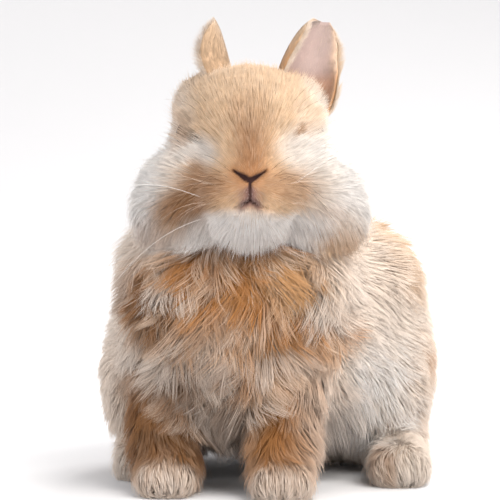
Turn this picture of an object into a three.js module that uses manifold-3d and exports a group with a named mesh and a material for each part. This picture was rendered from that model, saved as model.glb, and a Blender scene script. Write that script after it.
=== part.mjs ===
// A young dwarf rabbit, sitting up on its haunches with both forelegs straight: a still, life-size model.
//
// Millimetres, +Z up. The rabbit looks along -Y, its rump swings round towards +X, and it sits on Z = 0.
// "left" and "right" are the rabbit's own, so its left side is at +X.
//
// Every node of flesh starts as a few ellipsoids ("masses") that melt into one smooth form. A sphere or
// capsule grid is then cast outwards from a bone inside that form until each vertex meets its surface.
// Flat tapered locks of hair are rooted in that core, follow the lie of the coat and are fused with it.
// Nodes are trimmed one after another, so that each meets its neighbours across a gap of GAP.
import * as THREE from "three";
import { mergeVertices } from "three/addons/utils/BufferGeometryUtils.js";
import Module from "manifold-3d";

const wasm = await Module();
wasm.setup();

// ---------------------------------------------------------------- driving dimensions

const FINENESS = 0.12; // details below this are smoothed out of the finished nodes
const GAP = 0.3; // clearance between touching nodes
const FLATNESS = 5; // how many times more a lock's clearance grows along its flat than across it
const MIDDLE = [9.6, 5.9, 0]; // where the middle of the standing box falls in the modelling frame
const BODY_YAW = -23; // degrees that the hindquarters swing round from straight behind the head
const NOSE = [0, -86, 134]; // tip of the nose
const EYE_RADIUS = 8.5;
const EYE_AT = [22.5, -46.5, 152]; // centre of the left eyeball
const EYE_LOOK = [0.98, -0.16, 0.1]; // where the left eye looks
const EAR_LENGTH = 52;
const EAR_HALF_WIDTH = 15; // measured along the curl
const EAR_THICKNESS = 2.6;
const LOCK_STEPS = 3; // rings along a lock of hair
const LOCK_SINK = 3.5; // how deep a lock is rooted
const LOCK_THICKNESS = 3.4;

const COLOURS = {
  fawn: 0xd9b48c,
  orange: 0xc8905a,
  cream: 0xe8dccb,
  eye: 0x1d120c,
};

// ---------------------------------------------------------------- small helpers

const vec = (p) => new THREE.Vector3(...p);
const mix = (a, b, t) => a + (b - a) * t;
const clamp01 = (t) => Math.min(1, Math.max(0, t));
const smooth = (t) => clamp01(t) ** 2 * (3 - 2 * clamp01(t));
const mirrored = ([x, y, z]) => [-x, y, z];

// Reads a curve given as [t, value] stations, eased between them.
function along(stations, t) {
  let i = 1;
  while (i < stations.length - 1 && stations[i][0] < t) i += 1;
  const [t0, v0] = stations[i - 1];
  const [t1, v1] = stations[i];
  return mix(v0, v1, smooth((t - t0) / (t1 - t0)));
}

// A repeatable random number from -1 to 1.
function dice(seed) {
  let state = seed;
  return () => {
    state = (state * 1664525 + 1013904223) % 4294967296;
    return (state / 4294967296) * 2 - 1;
  };
}

// ---------------------------------------------------------------- soft forms

// An ellipsoid of flesh: centre, half-axes, and its turn about Z, X and Y in degrees.
function mass(at, radii, yaw = 0, pitch = 0, roll = 0) {
  const turn = new THREE.Quaternion().setFromEuler(
    new THREE.Euler(...[pitch, roll, yaw].map(THREE.MathUtils.degToRad), "ZXY"),
  );
  return { at: vec(at), radii: vec(radii), back: turn.invert() };
}

const pair = (at, radii, yaw = 0, pitch = 0, roll = 0) => [
  mass(at, radii, yaw, pitch, roll),
  mass(mirrored(at), radii, -yaw, pitch, -roll),
];

const local = new THREE.Vector3();
const scaled = new THREE.Vector3();

// About how far p lies outside one mass, negative inside.
function outside({ at, radii, back }, p) {
  local.copy(p).sub(at).applyQuaternion(back).divide(radii);
  const reach = local.length();
  const slope = scaled.copy(local).divide(radii).length();
  return slope < 1e-9 ? -Math.min(radii.x, radii.y, radii.z) : (reach * (reach - 1)) / slope;
}

// Several masses melted together: a function that gives the height of p above their common surface.
function melt(masses, softness) {
  return (p) => {
    let height = Infinity;
    for (const m of masses) {
      const h = outside(m, p);
      const share = Math.max(softness - Math.abs(height - h), 0) / softness;
      height = Math.min(height, h) - (height === Infinity ? 0 : (share * share * softness) / 4);
    }
    return height;
  };
}

const probe = new THREE.Vector3();

function normalAt(form, p) {
  const step = 0.5;
  const slope = ["x", "y", "z"].map((axis) => {
    probe.copy(p)[axis] += step;
    const up = form(probe);
    probe[axis] -= 2 * step;
    return up - form(probe);
  });
  return vec(slope).normalize();
}

// Moves p straight up or down onto the surface that lies `height` above the form.
function settle(form, p, height) {
  for (let i = 0; i < 4; i += 1) p.addScaledVector(normalAt(form, p), height - form(p));
  return p;
}

const CAST_STEP = 1.5;
const CAST_LIMIT = 150;
const tip = new THREE.Vector3();

// The point where a ray from inside first leaves the form, by steps and then halving.
function castOut(form, from, direction, height) {
  const at = (reach) => tip.copy(from).addScaledVector(direction, reach);
  let low = 0;
  let high = CAST_STEP;
  while (form(at(high)) < height && high < CAST_LIMIT) {
    low = high;
    high += CAST_STEP;
  }
  for (let i = 0; i < 12; i += 1) {
    const half = (low + high) / 2;
    if (form(at(half)) < height) low = half;
    else high = half;
  }
  return at(low).clone();
}

// Casts a closed grid out of a bone onto the form. The grid is a capsule of `rings` rings along the bone and
// `caps` rings over each end, with `around` sides.
function castFrom(bone, form, { around, rings, caps, height = 0, up = [0, 0, 1] }) {
  const straight = bone.length > 1;
  const span = straight ? 1 : 0;
  const grid = straight
    ? new THREE.CapsuleGeometry(1, span, caps, around, rings)
    : new THREE.SphereGeometry(1, around, caps * 2);
  const curve = straight ? new THREE.CatmullRomCurve3(bone.map(vec)) : null;
  const position = grid.attributes.position;
  const v = new THREE.Vector3();
  for (let i = 0; i < position.count; i += 1) {
    v.fromBufferAttribute(position, i);
    const t = clamp01(v.y + span / 2);
    v.y -= t - span / 2;
    if (!straight) v.y = position.getY(i);
    const from = straight ? curve.getPoint(t) : vec(bone[0]);
    const ahead = straight ? curve.getTangent(t) : vec([0, -1, 0]);
    const side = new THREE.Vector3().crossVectors(ahead, vec(up)).normalize();
    const over = new THREE.Vector3().crossVectors(side, ahead);
    const direction = new THREE.Vector3()
      .addScaledVector(side, v.x)
      .addScaledVector(over, v.z)
      .addScaledVector(ahead, v.y)
      .normalize();
    position.setXYZ(i, ...castOut(form, from, direction, height).toArray());
  }
  return grid;
}

// ---------------------------------------------------------------- solids

function solid(geometry) {
  const bare = geometry.clone();
  bare.deleteAttribute("normal");
  bare.deleteAttribute("uv");
  const merged = mergeVertices(bare, 1e-4);
  const made = new wasm.Manifold(
    new wasm.Mesh({
      numProp: 3,
      vertProperties: new Float32Array(merged.attributes.position.array),
      triVerts: new Uint32Array(merged.index.array),
    }),
  );
  if (made.volume() < 0) throw new Error("a form is inside out");
  return made;
}

const fuse = (solids) => solids.reduce((whole, next) => whole.add(next));

// The largest closed surface of a solid: what a cut chips off and what fusing seals in are dropped.
function largest(whole) {
  return whole.decompose().reduce((best, next) => (next.volume() > best.volume() ? next : best));
}

function geometryOf(whole) {
  const { vertProperties, triVerts } = whole.getMesh();
  const geometry = new THREE.BufferGeometry();
  geometry.setAttribute("position", new THREE.BufferAttribute(vertProperties, 3));
  geometry.setIndex(new THREE.BufferAttribute(triVerts, 1));
  return geometry;
}

// A sliver that tapers to a point at both ends, laid along `path`. Its width runs along the surface of the
// form and its thickness stands on it. A clearance grows it all round, more along its flat than across it.
function spindle(form, path, { halfWidth, halfThickness }, grow = 0) {
  const rings = path.length - 1;
  const grid = new THREE.SphereGeometry(1, 4, rings);
  const position = grid.attributes.position;
  const v = new THREE.Vector3();
  const frames = path.map((p, i) => {
    const ahead = path[Math.min(i + 1, rings)].clone().sub(path[Math.max(i - 1, 0)]).normalize();
    const side = new THREE.Vector3().crossVectors(normalAt(form, p), ahead).normalize();
    return { ahead, side, over: new THREE.Vector3().crossVectors(ahead, side) };
  });
  for (let i = 0; i < position.count; i += 1) {
    v.fromBufferAttribute(position, i);
    const ring = Math.round((Math.acos(clamp01((v.y + 1) / 2) * 2 - 1) / Math.PI) * rings);
    const { ahead, side, over } = frames[ring];
    const place = path[ring].clone();
    if (ring === 0 || ring === rings) {
      place.addScaledVector(ahead, Math.sign(ring - 0.5) * FLATNESS * grow);
    } else {
      const flat = Math.hypot(v.x, v.z);
      place.addScaledVector(side, (v.x / flat) * (halfWidth(ring / rings) + FLATNESS * grow));
      place.addScaledVector(over, (v.z / flat) * (halfThickness(ring / rings) + grow));
    }
    position.setXYZ(i, place.x, place.y, place.z);
  }
  return solid(grid);
}
// Points that follow the lie of the coat over a form from a root, at a height that changes on the way.
function combed(form, root, lie, length, heightAt, sway, steps) {
  const path = [settle(form, root.clone(), heightAt(0))];
  const stride = length / steps;
  for (let i = 1; i <= steps; i += 1) {
    const here = path[i - 1];
    const normal = normalAt(form, here);
    const ahead = lie(here).clone();
    ahead.addScaledVector(new THREE.Vector3().crossVectors(normal, ahead), sway * (i / steps));
    ahead.addScaledVector(normal, -ahead.dot(normal)).normalize();
    path.push(settle(form, here.clone().addScaledVector(ahead, stride), heightAt(i / steps)));
  }
  return path;
}

// One flat tapered lock of hair, rooted below the surface and rising to `rise` above it at its tip.
function lock(form, root, lie, { length, width, rise, sway }, grow) {
  const heightAt = (t) => mix(-LOCK_SINK, rise, t ** 0.8);
  const path = combed(form, root, lie, length, heightAt, sway, LOCK_STEPS);
  const shape = {
    halfWidth: (t) => along([[0, 0.6], [0.35, 1], [1, 0]], t) * (width / 2),
    halfThickness: (t) => (mix(1, 0.5, t) * LOCK_THICKNESS) / 2,
  };
  return spindle(form, path, shape, grow);
}

const GOLDEN_ANGLE = Math.PI * (3 - Math.sqrt(5));

// Evenly spread points on a form, found by casting a golden spiral out of a bone of the given thickness.
function spiral(bone, form, count, thickness) {
  const curve = new THREE.CatmullRomCurve3(bone.map(vec));
  const length = curve.getLength();
  const points = [];
  for (let i = 0; i < count; i += 1) {
    const reach = mix(-thickness, length + thickness, (i + 0.5) / count);
    const t = clamp01(reach / length);
    const lean = (reach - t * length) / thickness;
    const ahead = curve.getTangent(t);
    const side = new THREE.Vector3().crossVectors(ahead, vec([0, 0, 1])).normalize();
    const over = new THREE.Vector3().crossVectors(side, ahead);
    const turn = i * GOLDEN_ANGLE;
    const flat = Math.sqrt(1 - lean * lean);
    const direction = ahead
      .multiplyScalar(lean)
      .addScaledVector(side, Math.cos(turn) * flat)
      .addScaledVector(over, Math.sin(turn) * flat);
    points.push(castOut(form, curve.getPoint(t), direction, 0));
  }
  return points;
}

// A coat of locks over a form. `where` says which roots grow one, and `size` gives each its measures.
function coat({ bone, form, count, thickness, lie, where, size, seed }, grow) {
  const roll = dice(seed);
  const locks = [];
  for (const root of spiral(bone, form, count, thickness)) {
    const [a, b, c] = [roll(), roll(), roll()];
    if (!where(root)) continue;
    const { length, width, rise } = size(root);
    locks.push(
      lock(form, root, lie, {
        length: length * (1 + 0.18 * a),
        width: width * (1 + 0.12 * b),
        rise: rise * (1 + 0.2 * c),
        sway: 0.45 * b,
      }, grow),
    );
  }
  return locks;
}

// ---------------------------------------------------------------- the masses

const torsoMasses = [
  mass([28, 46, 50], [50, 45, 50], BODY_YAW), // rump
  mass([29, 26, 80], [44, 46, 33], BODY_YAW), // back
  mass([1, 8, 60], [59, 54, 46], BODY_YAW), // barrel
  mass([-7, -34, 64], [44, 31, 42]), // chest
  mass([-6, -16, 92], [49, 32, 34]), // shoulders
  mass([-3, -42, 90], [38, 22, 22]), // ruff under the chin
  mass([0, -8, 112], [28, 26, 20]), // nape of the neck
];
const torsoForm = melt(torsoMasses, 16);
const torsoBone = [[-6, -24, 76], [6, 8, 66], [26, 42, 58]];

const headMasses = [
  mass([0, -37, 152.5], [33, 32, 29]), // crown
  mass([0, -57, 153], [25, 21, 19]), // brow
  mass([0, -70, 142], [16, 18, 13]), // bridge of the nose
  mass([0, -72, 130], [21, 16, 14]), // muzzle
  ...pair([8.5, -79, 128], [9.5, 9, 8]), // whisker pads
  mass([0, -67, 117], [14, 12, 9]), // chin
  ...pair([24.5, -46, 132], [21, 27, 21]), // cheeks
  ...pair([26, -40, 119], [22, 24, 14]), // jowls
  mass([0, -22, 140], [27, 20, 26]), // nape
  ...pair([20, -22, 162], [11.5, 13, 12]), // mounds that the ears stand on
];
const headForm = melt(headMasses, 9);
const headBone = [[0, -46, 142]];

const thighs = {
  left: { at: [56, 30, 42], radii: [24, 43, 40], yaw: -8 },
  right: { at: [-37, 14, 42], radii: [25, 40, 39], yaw: -14 },
};
const thighForms = {};
for (const [side, { at, radii, yaw }] of Object.entries(thighs))
  thighForms[side] = melt([mass(at, radii, yaw)], 8);

const forelegs = {
  left: { x: 13.5, y: -54 },
  right: { x: -35.5, y: -42 },
};
const legMasses = ({ x, y }) => [
  mass([x, y + 12, 50], [16.5, 18, 25]),
  mass([x, y + 2, 34], [14.5, 14, 24]),
  mass([x, y - 2, 16], [13, 12, 12]),
];
const breastForm = melt([...torsoMasses, ...legMasses(forelegs.left), ...legMasses(forelegs.right)], 12);

const hindFeet = {
  left: { toe: [64, -33, 0], heel: [68, 40, 0] },
  right: { toe: [-47, -16, 0], heel: [-36, 50, 0] },
};

const NECK_FOOT = [0, -16, 98];
const NECK_TILT = 17; // degrees that the neck's lower end is tipped forwards
const aboveNeckPlane = (p) => {
  const tilt = THREE.MathUtils.degToRad(NECK_TILT);
  return (p.z - NECK_FOOT[2]) * Math.cos(tilt) - (p.y - NECK_FOOT[1]) * Math.sin(tilt);
};

// Whether a root on one form shows, rather than lying deep inside the forms beside it.
const shows = (p, ...others) => others.every((form) => form(p) > -1);

// ---------------------------------------------------------------- the lie of the coat

const flow = (x, y, z) => {
  const direction = vec([x, y, z]).normalize();
  return () => direction;
};
const bodyLie = flow(0.15, 0.55, -0.8);
const haunchLie = flow(0.1, 0.85, -0.5);
const bibLie = flow(0.25, 0, -1);
const legLie = flow(0, 0.15, -1);
const headLie = (p) => p.clone().sub(vec(NOSE)).add(vec([0, 0, -40])).normalize();

// ---------------------------------------------------------------- nodes

// Each node is a name, a colour and a function that builds its solid, grown all round by a clearance.
const nodes = [];
const define = (name, colour, build) => nodes.push({ name, colour, build });

const ball = (at, radius, around, rings) =>
  solid(new THREE.SphereGeometry(radius, around, rings).translate(...at));

function faceAlong(geometry, at, look) {
  const ahead = vec([Math.sign(look[0]), 0, 0]);
  const turn = new THREE.Quaternion().setFromUnitVectors(ahead, vec(look).normalize());
  return geometry.applyQuaternion(turn).translate(...at);
}

const eyes = { left: [EYE_AT, EYE_LOOK], right: [mirrored(EYE_AT), mirrored(EYE_LOOK)] };
for (const [side, [at]] of Object.entries(eyes))
  define(`eye_${side}`, COLOURS.eye, (grow) => ball(at, EYE_RADIUS + grow, 14, 8));

// An ear is a flat section bent round an arc: nearly a tube at its root, a shallow leaf at its tip. It leans
// sideways more and more towards its tip, and its opening turns forwards near its root.
const earCurl = [[0, 0.6], [0.17, 1.5], [0.35, 1.9], [0.5, 1.75], [0.75, 1.45], [1, 0.9]];
const earSpread = [
  [0, 0.25], [0.17, 1], [0.35, 1.5], [0.55, 1.5], [0.75, 1.3], [0.87, 0.92], [0.96, 0.42], [1, 0.08],
];
const earFlare = [[0, 9], [0.5, -1.2], [0.8, -1], [1, 3]]; // how far one edge is drawn sideways
const UNCURL_FROM = 0.5; // how far up the ear its edges start to open
const UNCURL_SPAN = 0.37;
const TWIST_TOP = 0.75; // how far up the ear its twist ends
const TWIST_SPAN = 0.45;

function ear({ root, lean, open, back, sideways, twist, uncurl, flare }, grow) {
  const grid = new THREE.SphereGeometry(1, 14, 12);
  const position = grid.attributes.position;
  const rise = vec(lean).normalize();
  const face = vec(open).addScaledVector(rise, -vec(open).dot(rise)).normalize();
  const side = new THREE.Vector3().crossVectors(face, rise);
  const v = new THREE.Vector3();
  for (let i = 0; i < position.count; i += 1) {
    v.fromBufferAttribute(position, i);
    const t = Math.acos(clamp01((v.y + 1) / 2) * 2 - 1) / Math.PI;
    const up = 1 - t;
    const end = (up > 0.999) - (up < 0.001);
    const flat = end ? Infinity : Math.hypot(v.x, v.z);
    const across = v.x / flat;
    const curl = along(earCurl, up) * (1 - uncurl * smooth((up - UNCURL_FROM) / UNCURL_SPAN));
    const radius = (EAR_HALF_WIDTH * along(earSpread, up)) / curl;
    const angle = across * (curl + grow / radius) - twist * smooth((TWIST_TOP - up) / TWIST_SPAN);
    const shell = ((v.z / flat) * EAR_THICKNESS * mix(1, 0.6, up)) / 2 + Math.sign(v.z.toFixed(6)) * grow;
    const place = vec(root)
      .addScaledVector(rise, EAR_LENGTH * up + FLATNESS * grow * end)
      .addScaledVector(face, -back * up * up)
      .add(vec([sideways * up * up + flare * along(earFlare, up) * smooth(-across), 0, 0]))
      .addScaledVector(side, (radius + shell) * Math.sin(angle))
      .addScaledVector(face, radius - (radius + shell) * Math.cos(angle));
    position.setXYZ(i, place.x, place.y, place.z);
  }
  return solid(grid);
}
const ears = {
  left: {
    root: [11, -32, 155], lean: [0, 0.48, 0.8], open: [0.82, -0.57, 0.1], back: 3, sideways: 22, twist: 0.55,
    uncurl: 0, flare: 1,
  },
  right: {
    root: [-6, -32, 155], lean: [0, 0.5, 0.8], open: [-0.98, 0, 0.1], back: 3, sideways: -13, twist: -0.3,
    uncurl: 0.6, flare: 0,
  },
};
for (const [side, shape] of Object.entries(ears))
  define(`ear_${side}`, COLOURS.fawn, (grow) => ear(shape, grow * 1.6));

// The head: lids over the eyes, nostrils, the split lip and the line of the mouth.
const LID = 1.3;
function lids([at, look]) {
  const shell = ball(at, EYE_RADIUS + LID, 12, 8);
  const opening = new THREE.SphereGeometry(1, 12, 6).scale(5, 7.2, 5.6);
  const out = vec(look).normalize().multiplyScalar(EYE_RADIUS);
  faceAlong(opening, vec(at).add(out).toArray(), look);
  return [shell, solid(opening)];
}

const onFace = (points) => points.map((p) => settle(headForm, vec(p), 0));
const slit = (points, width, depth) =>
  spindle(headForm, onFace(points), {
    halfWidth: (t) => (width / 2) * Math.sin(Math.PI * mix(0.12, 0.88, t)),
    halfThickness: () => depth,
  });
const faceLines = [
  ...[1, -1].map((s) =>
    slit([[s * 0.3, -90, 135.6], [s * 2.3, -89, 136.6], [s * 4.5, -87, 138], [s * 6.6, -84, 139.4]], 2.4, 2.6)),
  slit([[0, -90, 136], [0, -89, 133.5], [0, -88, 131], [0, -87, 129], [0, -86, 127]], 1, 1.6),
  ...[1, -1].map((s) =>
    slit([[0, -87, 127.3], [s * 2, -86, 126.2], [s * 4.3, -84, 124.9], [s * 6.5, -81, 124.2]], 1.1, 1.6)),
];

define("head", COLOURS.fawn, (grow) => {
  const skull = solid(castFrom(headBone, headForm, { around: 30, caps: 11, height: grow }));
  const beard = coat({
    bone: [[-6, -50, 128], [6, -50, 128]], form: headForm, count: 54, thickness: 40, lie: headLie, seed: 7,
    where: (p) => p.z < 140 && p.y > -76 && p.y < -20 && shows(p, torsoForm),
    size: (p) => ({ length: mix(16, 28, smooth((p.y + 80) / 40)), width: 15, rise: 3.5 }),
  }, grow);
  const whole = fuse([skull, ...beard]);
  if (grow) return whole;
  const cuts = Object.values(eyes).map((eye) => lids(eye));
  return fuse([whole, ...cuts.map(([shell]) => shell)])
    .subtract(fuse([...cuts.map(([, opening]) => opening), ...faceLines]));
});

// The neck is the top of the same body as the torso, parted from it by a tilted plane.
const body = (grow) => solid(castFrom(torsoBone, torsoForm, { around: 28, rings: 8, caps: 5, height: grow }));
const NECK_BOX = 200;
const neckSpace = (grow) =>
  solid(new THREE.BoxGeometry(NECK_BOX, NECK_BOX, NECK_BOX).translate(0, 0, NECK_BOX / 2 - grow)
    .rotateX(THREE.MathUtils.degToRad(NECK_TILT)).translate(...NECK_FOOT));

define("neck", COLOURS.fawn, (grow) => {
  const ruff = coat({
    bone: [[-10, -40, 100], [8, -30, 100]], form: torsoForm, count: 42, thickness: 30, lie: bodyLie, seed: 21,
    where: (p) => aboveNeckPlane(p) > 4 && shows(p, headForm),
    size: () => ({ length: 34, width: 18, rise: 5 }),
  }, grow);
  return fuse([body(grow).intersect(neckSpace(grow)), ...ruff]);
});

define("torso", COLOURS.fawn, (grow) => {
  const shag = coat({
    bone: torsoBone, form: torsoForm, count: 76, thickness: 46, lie: bodyLie, seed: 3,
    where: (p) => aboveNeckPlane(p) < 0 && p.z > 24 && p.y > -46
      && shows(p, thighForms.left, thighForms.right),
    size: () => ({ length: 42, width: 20, rise: 5 }),
  }, grow);
  const bib = coat({
    bone: [[-20, -34, 76], [8, -34, 76]], form: breastForm, count: 76, thickness: 26, lie: bibLie, seed: 9,
    where: (p) => p.y < -40 && aboveNeckPlane(p) < 4 && p.z > 46 && torsoForm(p) < 3,
    size: () => ({ length: 34, width: 16, rise: 5 }),
  }, grow);
  return fuse([body(grow), ...shag, ...bib]);
});

for (const [side, { at }] of Object.entries(thighs)) {
  const form = thighForms[side];
  define(`thigh_${side}`, COLOURS.cream, (grow) => {
    const core = solid(castFrom([at], form, { around: 18, caps: 7, height: grow }));
    const shag = coat({
      bone: [[at[0], at[1] - 10, at[2]], [at[0], at[1] + 10, at[2]]], form, count: 25, thickness: 36,
      lie: haunchLie, seed: 11, where: (p) => p.z > 20 && torsoForm(p) > 0,
      size: () => ({ length: 36, width: 19, rise: 4.5 }),
    }, grow);
    return fuse([core, ...shag]);
  });
}

const tailForm = melt([mass([38, 91, 36], [14, 9, 20], BODY_YAW, -15)], 8);
define("tail", COLOURS.cream, (grow) => {
  const core = solid(castFrom([[38, 91, 36]], tailForm, { around: 12, caps: 5, height: grow }));
  const tufts = coat({
    bone: [[36, 91, 36], [40, 91, 36]], form: tailForm, count: 10, thickness: 10, lie: bodyLie, seed: 31,
    where: (p) => p.z > 30 && torsoForm(p) > 2, size: () => ({ length: 26, width: 12, rise: 3 }),
  }, grow);
  return fuse([core, ...tufts]);
});

// Four toes side by side, and the claw that each ends in, turned about Z with their foot.
const TOES = [-1.5, -0.5, 0.5, 1.5];
const turned = ([x, y, z], [dx, dy], yaw) => {
  const turn = THREE.MathUtils.degToRad(yaw);
  return [x + dx * Math.cos(turn) - dy * Math.sin(turn), y + dx * Math.sin(turn) + dy * Math.cos(turn), z];
};
const toes = (at, yaw, pitch) =>
  TOES.map((i) => mass(turned(at, [i * pitch, Math.abs(i) * 1.2], yaw), [pitch * 0.7, 6.5, 6], yaw));

const CLAW_LENGTH = 7;
const CLAW_DROOP = 0.35; // radians below level
function claws(at, yaw, pitch, grow) {
  return TOES.map((i) => {
    const middle = turned(at, [i * pitch, Math.abs(i) * 1.2 - 6.5], yaw);
    const cone = new THREE.ConeGeometry(1.3 + grow, CLAW_LENGTH + 3 * grow, 5);
    cone.rotateX(Math.PI + CLAW_DROOP).rotateZ(THREE.MathUtils.degToRad(yaw)).translate(...middle);
    return solid(cone);
  });
}

for (const [side, { x, y }] of Object.entries(forelegs)) {
  const paw = melt([mass([x, y - 8, 8], [12.5, 15, 9.5]), ...toes([x, y - 18, 6.5], 0, 4.8)], 2);
  define(`forepaw_${side}`, COLOURS.cream, (grow) =>
    fuse([
      solid(castFrom([[x, y - 9, 8]], paw, { around: 14, caps: 6, height: grow })),
      ...claws([x, y - 18, 5], 0, 4.8, grow),
    ]));
  const leg = melt(legMasses({ x, y }), 8);
  const bone = [[x, y - 2, 14], [x, y + 2, 36], [x, y + 12, 56]];
  define(`foreleg_${side}`, COLOURS.orange, (grow) => {
    const core = solid(castFrom(bone, leg, { around: 14, rings: 5, caps: 3, height: grow, up: [0, 1, 0] }));
    const shag = coat({
      bone, form: leg, count: 18, thickness: 12, lie: legLie, seed: 5,
      where: (p) => p.z > 24 && torsoForm(p) > 0, size: () => ({ length: 22, width: 14, rise: 2.5 }),
    }, grow);
    return fuse([core, ...shag]);
  });
}

for (const [side, { toe, heel }] of Object.entries(hindFeet)) {
  const at = (t, z) => [mix(toe[0], heel[0], t), mix(toe[1], heel[1], t), z];
  const yaw = THREE.MathUtils.radToDeg(Math.atan2(toe[0] - heel[0], heel[1] - toe[1]));
  const foot = melt([
    mass(at(0.16, 8), [11.5, 16, 9.5], yaw),
    mass(at(0.5, 8), [10, 22, 10], yaw),
    mass(at(0.85, 9), [10, 16, 11], yaw),
    ...toes(at(0.02, 6.5), yaw, 5),
  ], 4);
  const bone = [at(0.1, 8), at(0.5, 8), at(0.9, 9)];
  define(`hind_foot_${side}`, COLOURS.cream, (grow) =>
    fuse([
      solid(castFrom(bone, foot, { around: 12, rings: 4, caps: 4, height: grow })),
      ...claws(at(0.02, 5), yaw, 5, grow),
    ]));
}

// ---------------------------------------------------------------- assembly

const FLOOR_DEPTH = 60;
const floor = solid(new THREE.BoxGeometry(500, 500, FLOOR_DEPTH).translate(0, 0, -FLOOR_DEPTH / 2));

const rabbit = new THREE.Group();
rabbit.position.set(-MIDDLE[0], -MIDDLE[1], -MIDDLE[2]);
const grown = [];
for (const { name, colour, build } of nodes) {
  const clear = fuse([floor, ...grown]);
  const trimmed = largest(largest(build(0).subtract(clear)).simplify(FINENESS));
  grown.push(build(GAP));
  const material = new THREE.MeshStandardMaterial({ color: colour, roughness: 0.9, metalness: 0 });
  const mesh = new THREE.Mesh(geometryOf(trimmed), material);
  mesh.name = name;
  rabbit.add(mesh);
}

export default rabbit;
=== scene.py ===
"""A young dwarf rabbit sitting up, life size: skin, coat, ears, eyes, claws and whiskers over its solids."""

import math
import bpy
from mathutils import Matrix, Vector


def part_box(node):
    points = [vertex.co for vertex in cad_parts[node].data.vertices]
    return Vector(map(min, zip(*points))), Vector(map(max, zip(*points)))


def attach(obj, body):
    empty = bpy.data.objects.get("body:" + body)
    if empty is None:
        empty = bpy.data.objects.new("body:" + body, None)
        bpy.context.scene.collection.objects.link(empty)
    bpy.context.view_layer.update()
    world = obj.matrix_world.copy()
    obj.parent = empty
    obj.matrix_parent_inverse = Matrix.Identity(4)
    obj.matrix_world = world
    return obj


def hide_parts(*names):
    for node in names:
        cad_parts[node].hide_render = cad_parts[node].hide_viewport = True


bl_info = {
    "name": "Sitting Dwarf Rabbit",
    "version": (1, 0, 0),
    "blender": (4, 5, 0),
    "location": "View3D > Sidebar > Rabbit",
    "description": "Dresses the solids of a sitting dwarf rabbit with skin, coat, ears, eyes and whiskers",
    "category": "Object",
}

from collections import namedtuple

import bmesh
import bpy
import numpy as np
from bpy.props import FloatProperty, FloatVectorProperty, IntProperty, PointerProperty
from mathutils import Matrix, Vector, kdtree

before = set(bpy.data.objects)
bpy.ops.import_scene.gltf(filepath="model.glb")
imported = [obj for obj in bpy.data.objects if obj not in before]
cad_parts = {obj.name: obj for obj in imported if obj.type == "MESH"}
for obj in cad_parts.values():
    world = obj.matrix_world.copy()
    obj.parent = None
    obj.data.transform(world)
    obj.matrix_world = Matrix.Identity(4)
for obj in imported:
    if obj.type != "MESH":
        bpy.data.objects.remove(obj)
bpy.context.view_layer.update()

# ---------------------------------------------------------------- the rabbit's forms, in millimetres
#
# The same masses as the solids: ellipsoids that melt together. The rabbit looks along -Y, its left is +X.

MIDDLE = np.array([9.6, 5.9, 0.0])  # the middle of the standing box in the modelling frame
BODY_YAW = -23
NOSE = np.array([0.0, -86.0, 134.0])
EYE_AT = np.array([22.5, -46.5, 152.0])
EYE_LOOK = np.array([0.98, -0.16, 0.1])
EYE_RADIUS = 8.5
HOLLOW_OUT = 24.0  # how far out of each eye the middle of the hollow beside it lies
HOLLOW_RADIUS = 16.8
SEAM = 6.0  # how softly one part of the body runs into the next
FAR = 1000.0
TOE_ARC = 1.2  # how far a row of toes bends back for each toe
TOE_Z = 6.5  # how high the middle of a toe lies


def metres(points):
    """Points of the modelling frame, in millimetres, as places in the scene."""
    return (np.asarray(points) - MIDDLE) / 1000


def unit(vectors):
    """Vectors at length 1."""
    return vectors / np.maximum(np.linalg.norm(vectors, axis=-1, keepdims=True), 1e-9)


def smooth(t):
    """Eases from 0 to 1."""
    t = np.clip(t, 0, 1)
    return t * t * (3 - 2 * t)


def mix(a, b, t):
    """From a to b as t goes from 0 to 1."""
    return a + (b - a) * t


class Mass:
    """An ellipsoid of flesh: centre, half-axes, and its turn about Z and X in degrees."""

    def __init__(self, at, radii, yaw=0, pitch=0):
        self.at = np.array(at, float)
        self.radii = np.array(radii, float)
        turn = Matrix.Rotation(math.radians(yaw), 4, "Z") @ Matrix.Rotation(math.radians(pitch), 4, "X")
        self.placed = Matrix.Translation(at) @ turn @ Matrix.Diagonal((*radii, 1))
        self.turn = np.array(turn.to_3x3())

    def height(self, points):
        """About how far points lie outside, negative inside."""
        local = (points - self.at) @ self.turn / self.radii
        reach = np.linalg.norm(local, axis=1)
        slope = np.linalg.norm(local / self.radii, axis=1)
        return reach * (reach - 1) / np.maximum(slope, 1e-6)


def pair(at, radii):
    """A mass and its mirror image."""
    x, y, z = at
    return [Mass(at, radii), Mass((-x, y, z), radii)]


def melted(low, high, softness):
    """The lower of two heights, rounded where they meet."""
    share = np.maximum(softness - np.abs(low - high), 0) / softness
    return np.minimum(low, high) - share * share * softness / 4


class Form:
    """A part of the body: masses melted together."""

    def __init__(self, masses, softness):
        self.masses = masses
        self.softness = softness
        spots = np.array([m.at for m in masses])
        self.centre = spots.mean(axis=0)
        self.reach = max(np.linalg.norm(m.at - self.centre) + m.radii.max() for m in masses) + 40

    def height(self, points):
        heights = np.full(len(points), FAR)
        near = np.linalg.norm(points - self.centre, axis=1) < self.reach
        for m in self.masses:
            heights[near] = melted(heights[near], m.height(points[near]), self.softness)
        return heights


def toe_places(at, yaw, pitch, ahead=0.0):
    """Where four toes lie side by side, as x and y."""
    turn = math.radians(yaw)
    for i in (-1.5, -0.5, 0.5, 1.5):
        dx, dy = i * pitch, abs(i) * TOE_ARC - ahead
        yield (at[0] + dx * math.cos(turn) - dy * math.sin(turn),
               at[1] + dx * math.sin(turn) + dy * math.cos(turn))


def toes(at, yaw, pitch):
    return [Mass((x, y, at[2]), (pitch * 0.7, 6.5, 6), yaw) for x, y in toe_places(at, yaw, pitch)]


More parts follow.
